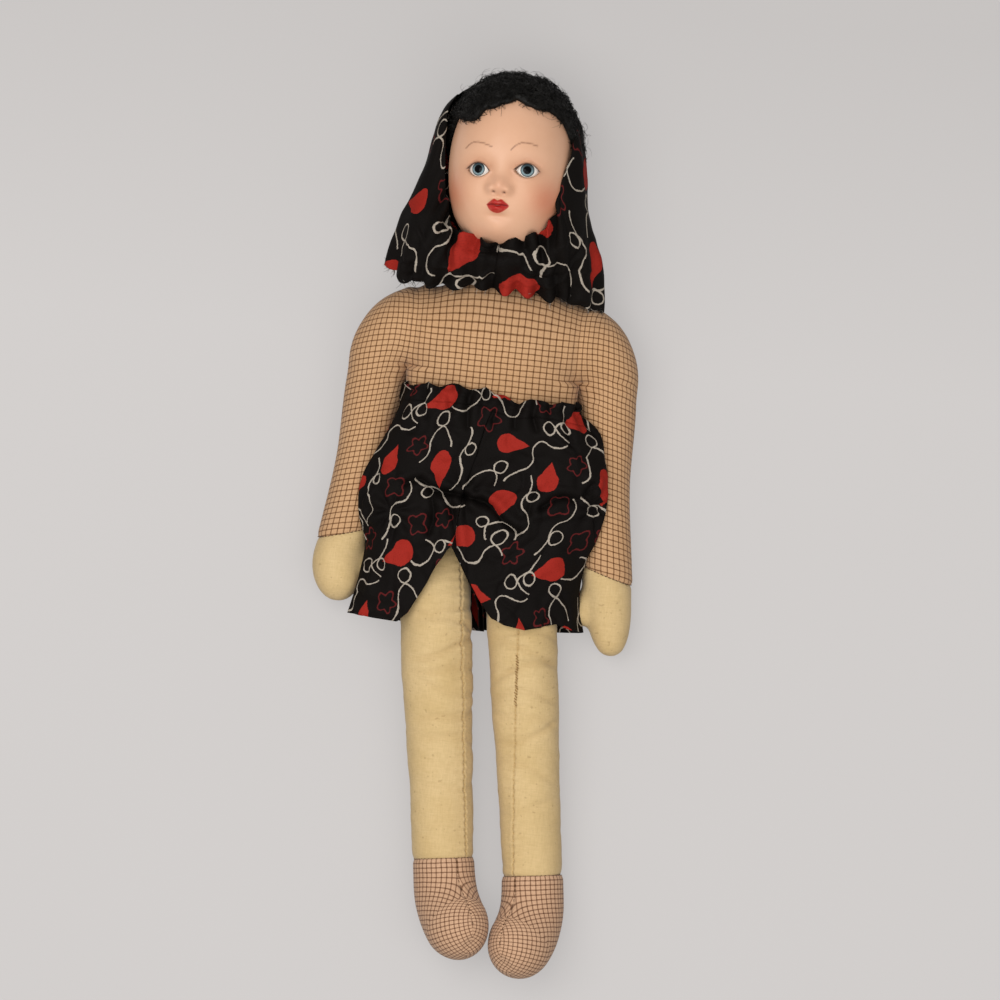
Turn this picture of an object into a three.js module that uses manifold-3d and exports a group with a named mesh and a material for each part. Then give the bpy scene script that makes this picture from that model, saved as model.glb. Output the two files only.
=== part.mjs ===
// A stuffed cloth doll lying on its back: a hard hollow head with set eyes, a plush wig and a printed
// kerchief, a check-cloth body with mitten hands and sock feet, and gathered shorts.
// Millimetres. +X is the doll's own left, +Y runs from the feet to the head, +Z is the front of the doll.
// The origin is the middle of the flat on the chest's back, where the doll rests.
import * as THREE from "three";
import { mergeVertices } from "three/addons/utils/BufferGeometryUtils.js";
import Module from "manifold-3d";

const wasm = await Module();
wasm.setup();

// Driving sizes
const CLOTH = 1.0; // wall of a cloth cover
const GAP = 0.3; // clearance between two pieces that touch
const REST_FLAT = 0.5; // depth of the flat that a stuffed form rests on

const TRUNK_WIDTH = 87;
const TORSO_DEPTH = 61;
const TORSO_BELOW = 90; // chest centre down to the hip seam
const TORSO_ABOVE = 38; // chest centre up to the neck end

const SHOULDER_SPAN = 92; // between the two arm roots
const SHOULDER_UP = 8; // shoulder axis above the chest centre
const SHOULDER_HEIGHT = 26; // shoulder axis above the floor
const SHOULDER_RADIUS = 21.5;
const YOKE_RISE = 3; // how much taller the yoke is in the middle
const YOKE_INSET = 2; // how far the yoke's front lies behind the chest

const ARM_LENGTH = 118; // shoulder axis down to the wrist
const ARM_SPREAD = 24.5; // how far the wrist hangs outside the arm root
const UPPER_ARM_RADIUS = 15.6;
const WRIST_RADIUS = 13.8;
const HAND_LENGTH = { left: 44, right: 37 };
const HAND_RADIUS = 15;
const THUMB_LENGTH = 17;
const THUMB_RADIUS = 6.5;
const HAND_CURL = { left: 10, right: 40 }; // degrees, towards the front

const HIP_SPACING = 45;
const HIP_HEIGHT = 20.8; // hip seam above the floor
const SEAM_GAP = 0.8; // hip axis to the edge of each sewn piece
const THREAD_RADIUS = 0.5;
const LEG_LENGTH = 181; // hip seam to the ankle seam
const LEG_SWING = 7.8; // degrees, both legs lean to the doll's left
const THIGH_RADIUS = 19;
const ANKLE_RADIUS = 16.3;
const FOOT_LENGTH = 59; // along the middle of the sock
const FOOT_RADIUS = 17.5;
const TOE_BEND = 58; // degrees that the sock turns towards the toe
const TOE_IN = { left: 35, right: 27 }; // degrees

const NECK_UP = 46; // neck pivot above the chest centre
const NECK_HEIGHT = 34; // neck pivot above the floor
const NECK_BALL_RADIUS = 15;
const NECK_RADIUS = 13.5;
const NECK_LENGTH = 36;
const NECK_TAPER = 0.96;

const HEAD_WIDTH = 66;
const HEAD_LENGTH = 90;
const HEAD_DEPTH = 79;
const HEAD_WALL = 2.5;
const HEAD_UP = 54; // head centre above the neck pivot
const HEAD_FORWARD = 12; // head centre in front of the neck axis
const HEAD_TURN = -9; // degrees about the neck
const EYE_RADIUS = 9;
const EYE_SPACING = 25;
const EYE_DROP = 4.4; // eyes below the head's centre
const EYE_INSET = 2.5; // the balls lie nearer the middle than the lids, because the face turns away there
const NOSE_DROP = 9; // below the eyes
const MOUTH_DROP = 10.5; // below the nose
const CHIN_DROP = 13; // below the mouth
const CHEEK_RISE = 5; // above the mouth
const EYE_OPENING_WIDTH = 12.4;
const EYE_OPENING_HEIGHT = 7.4;
const LID_THICKNESS = 0.9;

const WIG_THICKNESS = 3;
const SCARF_CLOTH = 1.2;
const SCARF_LOOSE = 5.5; // room between the wig and the kerchief at the sides
const SCARF_LEAN = -4; // the loose kerchief has slipped to the right
const SCARF_FLARE = 16.5; // how far the drape stands out past the hood
const SCARF_HEM_UP = 30; // hem of the drape above the chest centre
const TIE_WIDTH = 58;
const TIE_LENGTH = 25;
const TIE_THICKNESS = 24;
const TIE_PLEATS = 9;

const WAIST_DOWN = 23; // shorts' waist below the chest centre
const ELASTIC_WIDTH = 5;
const ELASTIC_THICKNESS = 0.9;
const SHORTS_CLOTH = 1.2;
const CROTCH_ROOM = 4; // crotch below the hip seam
const PANT_LENGTH = 52; // crotch down to the hem
const SEAT_EASE = 6; // how much wider the seat is than the trunk
const SEAT_DEPTH = 46; // front to back at the crotch
const PANT_HEM_WIDTH = { left: 46, right: 61 };
const SLIT_RISE = 41; // height of the slanted opening at the front of the hem
const SHORTS_FLARE = 17; // how far the front of the shorts spreads over the arms
const HEM_FLARE = 2;
const PANT_EASE = 4; // room in front of the thigh
const FOLD_DEPTH = 2;
const FOLDS = 5; // across the front

const ROUND = 12; // points round a limb
const deg = THREE.MathUtils.degToRad;
const { lerp, smoothstep } = THREE.MathUtils;

// Solids

// Joins rings of points into one closed surface. A pole closes each end, or the last ring joins the first.
function skin(rings, cyclic = false) {
  const n = rings[0].length;
  const points = rings.flat();
  const faces = [];
  const last = cyclic ? rings.length : rings.length - 1;
  for (let i = 0; i < last; i++) {
    const a = i * n;
    const b = ((i + 1) % rings.length) * n;
    for (let j = 0; j < n; j++) {
      const k = (j + 1) % n;
      faces.push(a + j, a + k, b + k, a + j, b + k, b + j);
    }
  }
  if (!cyclic) {
    const middle = (ring) => ring.reduce((s, p) => s.add(p), new THREE.Vector3()).divideScalar(n);
    const end = (rings.length - 1) * n;
    points.push(middle(rings[0]), middle(rings.at(-1)));
    for (let j = 0; j < n; j++) {
      const k = (j + 1) % n;
      faces.push(points.length - 2, k, j, points.length - 1, end + j, end + k);
    }
  }
  return solid(new THREE.BufferGeometry().setFromPoints(points).setIndex(faces));
}

// A closed geometry as a solid with its faces pointing out.
function solid(geometry) {
  const bare = geometry.clone();
  bare.deleteAttribute("normal");
  bare.deleteAttribute("uv");
  const merged = mergeVertices(bare, 1e-4);
  const make = (triVerts) =>
    new wasm.Manifold(
      new wasm.Mesh({ numProp: 3, vertProperties: merged.attributes.position.array, triVerts }),
    );
  const faces = new Uint32Array(merged.index.array);
  const made = make(faces);
  return made.volume() > 0 ? made : make(faces.slice().reverse());
}

// An oval ring: across and up are unit vectors, and power above 2 squares its corners.
function oval(centre, across, up, halfAcross, halfUp, power = 2, count = ROUND) {
  const ring = [];
  for (let j = 0; j < count; j++) {
    const a = (2 * Math.PI * (j + 0.5)) / count;
    const bow = (x) => Math.sign(x) * Math.abs(x) ** (2 / power);
    ring.push(
      centre
        .clone()
        .addScaledVector(across, halfAcross * bow(Math.cos(a)))
        .addScaledVector(up, halfUp * bow(Math.sin(a))),
    );
  }
  return ring;
}

const X = new THREE.Vector3(1, 0, 0);
const Y = new THREE.Vector3(0, 1, 0);
const Z = new THREE.Vector3(0, 0, 1);
const at = (x, y, z) => new THREE.Vector3(x, y, z);

// A value read off a list of [share, value, ...] rows, eased between the rows.
function along(rows, share, column = 1) {
  const next = rows.findIndex((row) => row[0] >= share);
  if (next <= 0) return rows.at(next)[column];
  const [a, b] = [rows[next - 1], rows[next]];
  return lerp(a[column], b[column], (share - a[0]) / (b[0] - a[0]));
}

function block(low, high) {
  const size = high.clone().sub(low);
  const middle = low.clone().add(high).multiplyScalar(0.5);
  return solid(new THREE.BoxGeometry(...size).translate(...middle));
}

// The main body of a cut form, without slivers that the cut leaves.
const largest = (form) => form.decompose().sort((a, b) => b.volume() - a.volume())[0];

const FAR = 1000; // reaches past the whole doll
const aboveFloor = block(at(-FAR, -FAR, 0), at(FAR, FAR, FAR));

// Torso
// The trunk tapers to a flat hip seam below and to the neck above. A yoke across it carries the arms.

// share of the length from hip seam to neck, share of width, share of depth
const TRUNK = [
  [0, 0.96, 0.03],
  [0.05, 0.97, 0.17],
  [0.13, 0.98, 0.41],
  [0.24, 1, 0.64],
  [0.38, 0.99, 0.78],
  [0.53, 0.97, 0.82],
  [0.63, 0.98, 0.95],
  [0.7, 1, 1],
  [0.79, 1, 0.97],
  [0.87, 0.95, 0.83],
  [0.94, 0.78, 0.6],
  [1, 0.4, 0.3],
];
const TRUNK_SQUARE = 2.3;
const TRUNK_ROUND = 20;
const CHEST_SHARE = TORSO_BELOW / (TORSO_BELOW + TORSO_ABOVE);
const trunkShare = (y) => (y + TORSO_BELOW) / (TORSO_BELOW + TORSO_ABOVE);

function trunkSection(share, grow) {
  const depth = along(TRUNK, share, 2);
  const restZ = TORSO_DEPTH / 2 - REST_FLAT;
  const endZ = share < CHEST_SHARE ? HIP_HEIGHT : NECK_HEIGHT;
  return {
    z: lerp(endZ, restZ, depth),
    halfWidth: (TRUNK_WIDTH / 2) * along(TRUNK, share) + grow,
    halfDepth: Math.max((TORSO_DEPTH / 2) * depth + grow, 0.2),
  };
}

function torsoForm(grow, sideTrim) {
  const [first, last] = [trunkShare(SEAM_GAP - 2 * grow - TORSO_BELOW), trunkShare(TORSO_ABOVE + grow)];
  const shares = [first, ...TRUNK.map((row) => row[0]).slice(1, -1), last];
  const rings = shares.map((share) => {
    const s = trunkSection(Math.min(share, 1), grow);
    const centre = at(0, lerp(-TORSO_BELOW, TORSO_ABOVE, share), s.z);
    return oval(centre, X, Z, s.halfWidth, s.halfDepth, TRUNK_SQUARE, TRUNK_ROUND);
  });
  const yoke = [-1, -0.75, -0.4, 0, 0.4, 0.75, 1].map((share) => {
    const middle = 1 - share * share;
    const z = lerp(SHOULDER_HEIGHT, TORSO_DEPTH / 2, middle);
    const overrun = Math.trunc(share) * 2 * CLOTH; // the ends are cut back to flat arm roots
    const tall = SHOULDER_RADIUS + YOKE_RISE * middle + grow;
    const thick = lerp(SHOULDER_RADIUS, TORSO_DEPTH / 2 - YOKE_INSET, middle) + grow;
    return oval(at((share * SHOULDER_SPAN) / 2 + overrun, SHOULDER_UP, z), Y, Z, tall, thick, 2, 16);
  });
  const half = SHOULDER_SPAN / 2 + sideTrim;
  return skin(rings).add(skin(yoke)).intersect(block(at(-half, -FAR, -FAR), at(half, FAR, FAR)));
}

const neckPivot = at(0, NECK_UP, NECK_HEIGHT);
const ball = (centre, radius, across = 16, tall = 10) =>
  solid(new THREE.SphereGeometry(radius, across, tall).translate(...centre));
const neckSocket = ball(neckPivot, NECK_BALL_RADIUS + GAP);

function torsoCover() {
  return torsoForm(0, 0)
    .intersect(aboveFloor)
    .subtract(torsoForm(-CLOTH, CLOTH))
    .subtract(neckSocket);
}
const sideSeam = SHOULDER_HEIGHT;
const frontHalf = block(at(-FAR, -FAR, sideSeam + GAP / 2), at(FAR, FAR, FAR));
const backHalf = block(at(-FAR, -FAR, -FAR), at(FAR, FAR, sideSeam - GAP / 2));
const torsoStuffing = () => torsoForm(-CLOTH - GAP, 0).subtract(neckSocket);

// The stuffed neck: a ball seated in the torso, and a stem that the head turns on.
function neckPlug() {
  const stem = new THREE.CylinderGeometry(NECK_RADIUS * NECK_TAPER, NECK_RADIUS, NECK_LENGTH, 24);
  stem.translate(0, NECK_LENGTH / 2, 0).translate(...neckPivot);
  return ball(neckPivot, NECK_BALL_RADIUS).add(solid(stem));
}

// Arms
// A tube that leaves the yoke sideways and turns down beside the trunk. side is 1 for left, -1 for right.

const shoulderX = SHOULDER_SPAN / 2;
const wristAt = at(shoulderX + ARM_SPREAD, SHOULDER_UP - ARM_LENGTH, WRIST_RADIUS);
const elbowAt = at(
  shoulderX + UPPER_ARM_RADIUS,
  SHOULDER_UP - ARM_LENGTH * 0.25,
  lerp(SHOULDER_HEIGHT, WRIST_RADIUS, 0.45),
);
const ARM_BOW = 2.2; // how far the forearm bows in towards the trunk
const armPath = new THREE.CatmullRomCurve3(
  [
    at(shoulderX - 0.65 * SHOULDER_RADIUS, SHOULDER_UP + 0.2 * SHOULDER_RADIUS, SHOULDER_HEIGHT),
    at(shoulderX + 0.4 * UPPER_ARM_RADIUS, SHOULDER_UP - 0.14 * SHOULDER_RADIUS, SHOULDER_HEIGHT),
    at(shoulderX + 0.86 * UPPER_ARM_RADIUS, SHOULDER_UP - 0.6 * SHOULDER_RADIUS, SHOULDER_HEIGHT - 2),
    elbowAt,
    elbowAt.clone().lerp(wristAt, 0.5).add(at(-ARM_BOW, 0, 0)),
    wristAt,
  ],
  false,
  "centripetal",
);
// The sleeve narrows from the shoulder to the upper arm, then evenly to the wrist.
const UPPER_ARM_SHARE = 0.36;
const armRadius = (share) => {
  const upper = lerp(SHOULDER_RADIUS, UPPER_ARM_RADIUS, smoothstep(share, 0, UPPER_ARM_SHARE));
  const past = Math.max(0, share - UPPER_ARM_SHARE) / (1 - UPPER_ARM_SHARE);
  return lerp(upper, WRIST_RADIUS, past);
};

function armSection(share, side, grow) {
  const centre = armPath.getPointAt(share);
  const way = armPath.getTangentAt(share);
  const across = at(-way.y, way.x, 0).normalize();
  const up = way.clone().cross(across);
  const r = armRadius(share) + grow;
  const ring = oval(centre, across, up, r, r);
  return side > 0 ? ring : ring.map((p) => at(-p.x, p.y, p.z));
}

const outsideTorso = (side) => {
  const from = shoulderX + GAP;
  return side > 0
    ? block(at(from, -FAR, -FAR), at(FAR, FAR, FAR))
    : block(at(-FAR, -FAR, -FAR), at(-from, FAR, FAR));
};

const ARM_RINGS = 9;
function armTube(side, grow, extraRings = []) {
  const rings = [];
  for (let i = 0; i <= ARM_RINGS; i++) rings.push(armSection(i / ARM_RINGS, side, grow));
  return skin([...rings, ...extraRings]);
}

// The mitten goes on from the wrist along an arc that curls to the front, with a thumb on its inner side.
const keyOf = (side) => (side > 0 ? "left" : "right");
function handFrame(share, side) {
  const curl = deg(HAND_CURL[keyOf(side)]);
  const bow = HAND_LENGTH[keyOf(side)] / curl; // radius of the arc
  const angle = curl * share;
  const [down, forward] = [bow * Math.sin(angle), bow * (1 - Math.cos(angle))];
  const wrist = armPath.getTangentAt(1);
  const across = at(-wrist.y, wrist.x, 0).normalize();
  const front = wrist.clone().cross(across);
  return {
    centre: wristAt.clone().addScaledVector(wrist, down).addScaledVector(front, forward),
    across,
    up: front.clone().multiplyScalar(Math.cos(angle)).addScaledVector(wrist, -Math.sin(angle)),
    way: wrist.clone().multiplyScalar(Math.cos(angle)).addScaledVector(front, Math.sin(angle)),
  };
}
// share of the hand's length, share of its radius
const MITTEN = [
  [0, WRIST_RADIUS / HAND_RADIUS, 0.93],
  [0.18, 0.96, 0.95],
  [0.4, 1, 0.95],
  [0.6, 0.93, 0.9],
  [0.78, 0.76, 0.76],
  [0.9, 0.54, 0.55],
  [0.97, 0.28, 0.3],
];

function handRings(side, grow) {
  return MITTEN.map(([share, wide, thick], i) => {
    const f = handFrame(share * (1 + grow / HAND_LENGTH[keyOf(side)]), side);
    const start = i === 0 ? GAP : 0;
    const centre = f.centre.addScaledVector(f.way, start);
    const ring = oval(centre, f.across, f.up, HAND_RADIUS * wide + grow, HAND_RADIUS * thick + grow);
    return side > 0 ? ring : ring.map((p) => at(-p.x, p.y, p.z));
  });
}

function thumb(side, grow) {
  const f = handFrame(0.34, side);
  const root = f.centre.clone().addScaledVector(f.across, -0.6 * HAND_RADIUS);
  const shape = new THREE.SphereGeometry(1, 12, 8);
  const basis = new THREE.Matrix4().makeBasis(
    f.across.clone().multiplyScalar(THUMB_RADIUS + grow),
    f.way.clone().multiplyScalar(THUMB_LENGTH / 2 + grow),
    f.up.clone().multiplyScalar(THUMB_RADIUS * 1.25 + grow),
  );
  const centre = root.addScaledVector(f.way, THUMB_LENGTH * 0.3);
  shape.applyMatrix4(basis).translate(...centre);
  if (side < 0) shape.scale(-1, 1, 1);
  return solid(shape);
}

const handForm = (side, grow) => skin(handRings(side, grow)).add(thumb(side, grow));

function armCover(side) {
  const beyond = armSection(1, side, -CLOTH).map((p) => p.clone().add(at(0, -CLOTH, 0)));
  return armTube(side, 0)
    .subtract(armTube(side, -CLOTH, [beyond]))
    .intersect(outsideTorso(side))
    .intersect(aboveFloor);
}
function handCover(side) {
  const rings = handRings(side, -CLOTH);
  const before = rings[0].map((p) => p.clone().add(at(0, CLOTH, 0)));
  return handForm(side, 0)
    .subtract(skin([before, ...rings]).add(thumb(side, -CLOTH)))
    .intersect(aboveFloor);
}
function armStuffing(side) {
  const inset = -CLOTH - GAP;
  return armTube(side, inset, handRings(side, inset)).intersect(outsideTorso(side));
}

// Legs
// A cotton tube that is sewn flat at the hip, with a sock foot that bends to the toe.

const hipAt = (side) => at((side * HIP_SPACING) / 2, -TORSO_BELOW - SEAM_GAP, HIP_HEIGHT);

// share of the leg's length, share of the thigh's radius across, and front to back
const LEG = [
  [0, 0.97, 0.04],
  [0.035, 1, 0.27],
  [0.085, 1.02, 0.55],
  [0.16, 1.02, 0.83],
  [0.25, 1, 1],
  [0.42, 0.99, 1],
  [0.62, lerp(1, ANKLE_RADIUS / THIGH_RADIUS, 0.5), lerp(1, ANKLE_RADIUS / THIGH_RADIUS, 0.4)],
  [0.82, lerp(1, ANKLE_RADIUS / THIGH_RADIUS, 0.85), lerp(1, ANKLE_RADIUS / THIGH_RADIUS, 0.8)],
  [1, ANKLE_RADIUS / THIGH_RADIUS, ANKLE_RADIUS / THIGH_RADIUS],
];

// A point of the leg's middle line, s millimetres below the hip, and its directions.
function legFrame(side, s) {
  const lean = deg(LEG_SWING);
  const turn = lean * smoothstep(s, 0, THIGH_RADIUS * 3);
  const drop = (HIP_HEIGHT - ANKLE_RADIUS) * smoothstep(s, THIGH_RADIUS * 2, LEG_LENGTH);
  return {
    centre: hipAt(side).add(at(s * Math.sin(lean), -s * Math.cos(lean), -drop)),
    across: at(Math.cos(turn), Math.sin(turn), 0),
  };
}

function legRings(side, grow) {
  return LEG.map(([share, wide, thick]) => {
    const start = share === 0 ? SEAM_GAP - Math.min(grow, 0) : 0;
    const f = legFrame(side, share * LEG_LENGTH + start);
    const halfThick = Math.max(THIGH_RADIUS * thick + grow, 0.2);
    return oval(f.centre, f.across, Z, THIGH_RADIUS * wide + grow, halfThick);
  });
}

// The sock: a middle line that turns towards the toe, and a radius that swells and then closes.
const FOOT_RINGS = 9;
const DOME_FROM = 0.66; // share of the sock where the toe starts to close
function footRings(side, grow, from = GAP) {
  const ankle = legFrame(side, LEG_LENGTH);
  const lean = deg(LEG_SWING);
  const down = at(Math.sin(lean), -Math.cos(lean), 0);
  const toeIn = deg(TOE_IN[keyOf(side)]) * side;
  const front = Z.clone().applyAxisAngle(down, toeIn);
  const across = ankle.across.clone().applyAxisAngle(down, toeIn);
  const centre = ankle.centre.clone();
  const step = (FOOT_LENGTH + grow) / FOOT_RINGS;
  const rings = [];
  for (let i = 0; i <= FOOT_RINGS; i++) {
    const share = (0.98 * i) / FOOT_RINGS;
    const bend = deg(TOE_BEND) * smoothstep(share, 0.05, 0.85);
    const way = down.clone().multiplyScalar(Math.cos(bend)).addScaledVector(front, Math.sin(bend));
    const normal = front.clone().multiplyScalar(Math.cos(bend)).addScaledVector(down, -Math.sin(bend));
    const swell = lerp(ANKLE_RADIUS, FOOT_RADIUS, smoothstep(share, 0.1, 0.55));
    const close = Math.max(0, (share - DOME_FROM) / (1 - DOME_FROM));
    const radius = swell * Math.sqrt(1 - close * close);
    const start = i === 0 ? from : 0;
    const middle = centre.clone().addScaledVector(way, start);
    const flat = 0.04 * smoothstep(share, 0.1, 0.5);
    rings.push(oval(middle, across, normal, radius * (1 - flat) + grow, radius * (1 + flat) + grow));
    centre.addScaledVector(way, step);
  }
  return rings;
}

function legCover(side) {
  const inner = legRings(side, -CLOTH);
  const beyond = inner.at(-1).map((p) => p.clone().add(at(0, -CLOTH, 0)));
  return skin(legRings(side, 0)).subtract(skin([...inner, beyond])).intersect(aboveFloor);
}
function footCover(side) {
  return skin(footRings(side, 0)).subtract(skin(footRings(side, -CLOTH, -CLOTH))).intersect(aboveFloor);
}
function legStuffing(side) {
  const inset = -CLOTH - GAP;
  return skin([...legRings(side, inset), ...footRings(side, inset).slice(1)]);
}
// The row of stitches that a leg hangs on is its hinge.
function hipThread(side) {
  const length = 2 * THIGH_RADIUS * 0.97;
  const thread = new THREE.CylinderGeometry(THREAD_RADIUS, THREAD_RADIUS, length, 10);
  return solid(thread.rotateZ(Math.PI / 2).translate(...hipAt(side)));
}

// Head
// A hollow moulded head about its own centre: x across the face, y up, z out of the face.

const headCentre = neckPivot.clone().add(at(0, HEAD_UP, HEAD_FORWARD));
const headTurn = new THREE.Matrix4()
  .makeTranslation(...neckPivot)
  .multiply(new THREE.Matrix4().makeRotationY(deg(HEAD_TURN)))
  .multiply(new THREE.Matrix4().makeTranslation(0, HEAD_UP, HEAD_FORWARD));
const eyeY = -EYE_DROP;
const noseY = eyeY - NOSE_DROP;
const mouthY = noseY - MOUTH_DROP;
const chinY = mouthY - CHIN_DROP;
const cheekY = mouthY + CHEEK_RISE;

const bell = (x, middle, width) => Math.exp(-(((x - middle) / width) ** 2));

// How far the face stands out of the plain head at (x, y).
function relief(x, y) {
  const side = Math.abs(x);
  const half = EYE_SPACING / 2;
  const bridge = bell(x, 0, 3.6) * 2.4 * smoothstep(y, noseY - 1, noseY + 5) * bell(y, noseY, 9);
  const noseTip = 5.6 * bell(x, 0, 3.9) * bell(y, noseY, 4.6);
  const nostrils = 2.3 * bell(side, 4, 2.6) * bell(y, noseY - 1.5, 3);
  const lips = 2.3 * bell(x, 0, 6) * bell(y, mouthY, 3.6);
  const chin = 3.2 * bell(x, 0, 9) * bell(y, chinY, 7.5);
  const cheeks = 2.6 * bell(side, 18, 11) * bell(y, cheekY, 12);
  const sockets = -2.4 * bell(side, half, 8) * bell(y, eyeY + 1, 6);
  const lids = 1.3 * bell(side, half, 7.5) * bell(y, eyeY, 4.6);
  return bridge + noseTip + nostrils + lips + chin + cheeks + sockets + lids;
}

// The head is full at the cheeks and the jaw, rounder at the crown, and tapers to the nape.
const NAPE_TAPER = 0.3;
const girthAt = (tilt) => Math.cos(tilt) ** (tilt < 0 ? 0.65 : 0.86);

// Points round the head lie closer together over the face.
const HEAD_COLUMNS = 42;
const HEAD_ROWS = 28;
const FACE_SHARE = 0.38; // height of the middle of the face
function headForm(grow, columns = HEAD_COLUMNS, rows = HEAD_ROWS, withFace = true) {
  const rings = [];
  for (let i = 1; i < rows; i++) {
    const crowd = Math.sin(2 * Math.PI * (i / rows - FACE_SHARE)) + Math.sin(2 * Math.PI * FACE_SHARE);
    const tilt = Math.PI * (i / rows - 0.5 - (withFace ? 0.1 * crowd : 0));
    const ring = [];
    for (let j = 0; j < columns; j++) {
      const turn = (2 * Math.PI * j) / columns;
      const angle = turn - (withFace ? 0.66 * Math.sin(turn) : 0);
      const y = (HEAD_LENGTH / 2 + grow) * Math.sin(tilt);
      const girth = girthAt(tilt);
      const x = (HEAD_WIDTH / 2 + grow) * girth * Math.sin(angle);
      const forward = Math.cos(angle);
      const nape = forward < 0 ? 1 + NAPE_TAPER * Math.sin(Math.min(0, tilt)) : 1;
      let z = (HEAD_DEPTH / 2 + grow) * girth * nape * forward;
      if (withFace && forward > 0) z += relief(x, y) * smoothstep(forward, 0, 0.5);
      ring.push(at(x, y, z));
    }
    rings.push(ring);
  }
  return skin(rings);
}

function faceZ(x, y) {
  const girth = girthAt(Math.asin((2 * y) / HEAD_LENGTH));
  const reach = x / ((HEAD_WIDTH / 2) * girth);
  return (HEAD_DEPTH / 2) * girth * Math.sqrt(1 - reach * reach) + relief(x, y);
}
const eyeCentre = (side) => {
  const x = (side * EYE_SPACING) / 2;
  return at(x - side * EYE_INSET, eyeY, faceZ(x, eyeY) - LID_THICKNESS - EYE_RADIUS);
};

// The opening between the lids: two arcs that meet at the corners of the eye.
function eyeOpening(side) {
  const w = EYE_OPENING_WIDTH / 2;
  const lens = new THREE.Shape().moveTo(-w, 0);
  lens.quadraticCurveTo(0, EYE_OPENING_HEIGHT, w, 0).quadraticCurveTo(0, -EYE_OPENING_HEIGHT, -w, 0);
  const depth = 2 * EYE_RADIUS;
  const cut = new THREE.ExtrudeGeometry(lens, { depth, bevelEnabled: false, curveSegments: 8 });
  return solid(cut.translate((side * EYE_SPACING) / 2, eyeY, eyeCentre(side).z));
}

function headShell() {
  const neckHole = new THREE.CylinderGeometry(NECK_RADIUS + GAP, NECK_RADIUS + GAP, HEAD_UP, 24);
  neckHole.translate(0, -HEAD_UP / 2, -HEAD_FORWARD);
  let shell = headForm(0).subtract(headForm(-HEAD_WALL, 18, 12, false)).subtract(solid(neckHole));
  for (const side of [-1, 1]) {
    shell = shell.subtract(ball(eyeCentre(side), EYE_RADIUS + GAP)).subtract(eyeOpening(side));
  }
  return largest(shell);
}

const WIG_ROOM = 2 * GAP; // the cap's flat facets keep clear of the rounder head
const plainHead = (grow) => headForm(grow, 24, 16, false);

// The plush cap covers the crown and the back of the head down to a slanted hairline.
const HAIRLINE_SLOPE = 38; // degrees
function wig() {
  const shell = plainHead(WIG_ROOM + WIG_THICKNESS).subtract(plainHead(WIG_ROOM));
  const above = new THREE.BoxGeometry(FAR, FAR, FAR).translate(0, FAR / 2 + 1, 0);
  return shell.intersect(solid(above.rotateX(deg(-HAIRLINE_SLOPE))));
}

// Kerchief
// Printed cloth over the wig and round the neck, open at the face, bunched under the chin.

const scarfHalf = HEAD_WIDTH / 2 + WIG_THICKNESS + SCARF_LOOSE;
const scarfTop = headCentre.y + HEAD_LENGTH / 2 + WIG_THICKNESS + SCARF_CLOTH + 4 * GAP;
const hoodHem = headCentre.y - HEAD_LENGTH / 2 + 4;
const scarfFront = headCentre.z + HEAD_DEPTH * 0.27;

// share of the way from the hem to the crown, share of the half width, share of the front's height
const SCARF = [
  [0, 1 + SCARF_FLARE / scarfHalf, 0.9],
  [0.12, 1 + (0.95 * SCARF_FLARE) / scarfHalf, 0.93],
  [0.3, 1 + (0.5 * SCARF_FLARE) / scarfHalf, 0.97],
  [0.5, 1 + (0.1 * SCARF_FLARE) / scarfHalf, 1],
  [0.7, 1, 1.05],
  [0.84, 0.9, 1.08],
  [0.94, 0.72, 1.03],
  [1, 0.44, 0.9],
];
function scarfForm(inset, bottom) {
  const rings = SCARF.map(([share, wide, front], i) => {
    const y = lerp(SCARF_HEM_UP, scarfTop - inset, share) - (i === 0 ? bottom : 0);
    const crown = smoothstep(share, 0.72, 1);
    const lifted = 4 * REST_FLAT * (1 - smoothstep(share, 0.1, 0.3));
    const back = lerp(-REST_FLAT, headCentre.z * 0.5, crown * crown) + lifted + inset;
    const high = scarfFront * front - inset;
    const middle = at(SCARF_LEAN, y, (back + high) / 2);
    return oval(middle, X, Z, scarfHalf * wide - inset, (high - back) / 2, 2.5, 26);
  });
  return skin(rings);
}

function faceOpening() {
  const [wide, tall] = [HEAD_WIDTH / 2 + 1, HEAD_LENGTH / 2 + WIG_THICKNESS];
  const outline = new THREE.Shape().absellipse(0, 0, wide, tall, 0, 2 * Math.PI);
  const cut = new THREE.ExtrudeGeometry(outline, { depth: FAR, bevelEnabled: false, curveSegments: 24 });
  return solid(cut.translate(0, headCentre.y + 1, headCentre.z * 0.86));
}
function chinOpening() {
  const half = TIE_WIDTH / 2 + GAP;
  return block(at(-half, -FAR, headCentre.z), at(half, headCentre.y, FAR));
}
function scarf() {
  const overWig = plainHead(WIG_ROOM + WIG_THICKNESS + GAP).transform(headTurn.elements);
  return scarfForm(0, 0)
    .intersect(aboveFloor)
    .subtract(scarfForm(SCARF_CLOTH, CLOTH))
    .subtract(overWig)
    .subtract(faceOpening())
    .subtract(chinOpening());
}
function hood() {
  return largest(scarf().intersect(block(at(-FAR, hoodHem + GAP / 2, -FAR), at(FAR, FAR, FAR))));
}
function drape() {
  const lift = REST_FLAT + GAP; // the loose hem stays off the floor
  const below = block(at(-FAR, -FAR, lift), at(FAR, hoodHem - GAP / 2, FAR));
  let cloth = scarf().intersect(below).subtract(torsoForm(GAP, GAP));
  for (const side of [-1, 1]) cloth = cloth.subtract(armTube(side, GAP));
  return largest(cloth);
}

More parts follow.
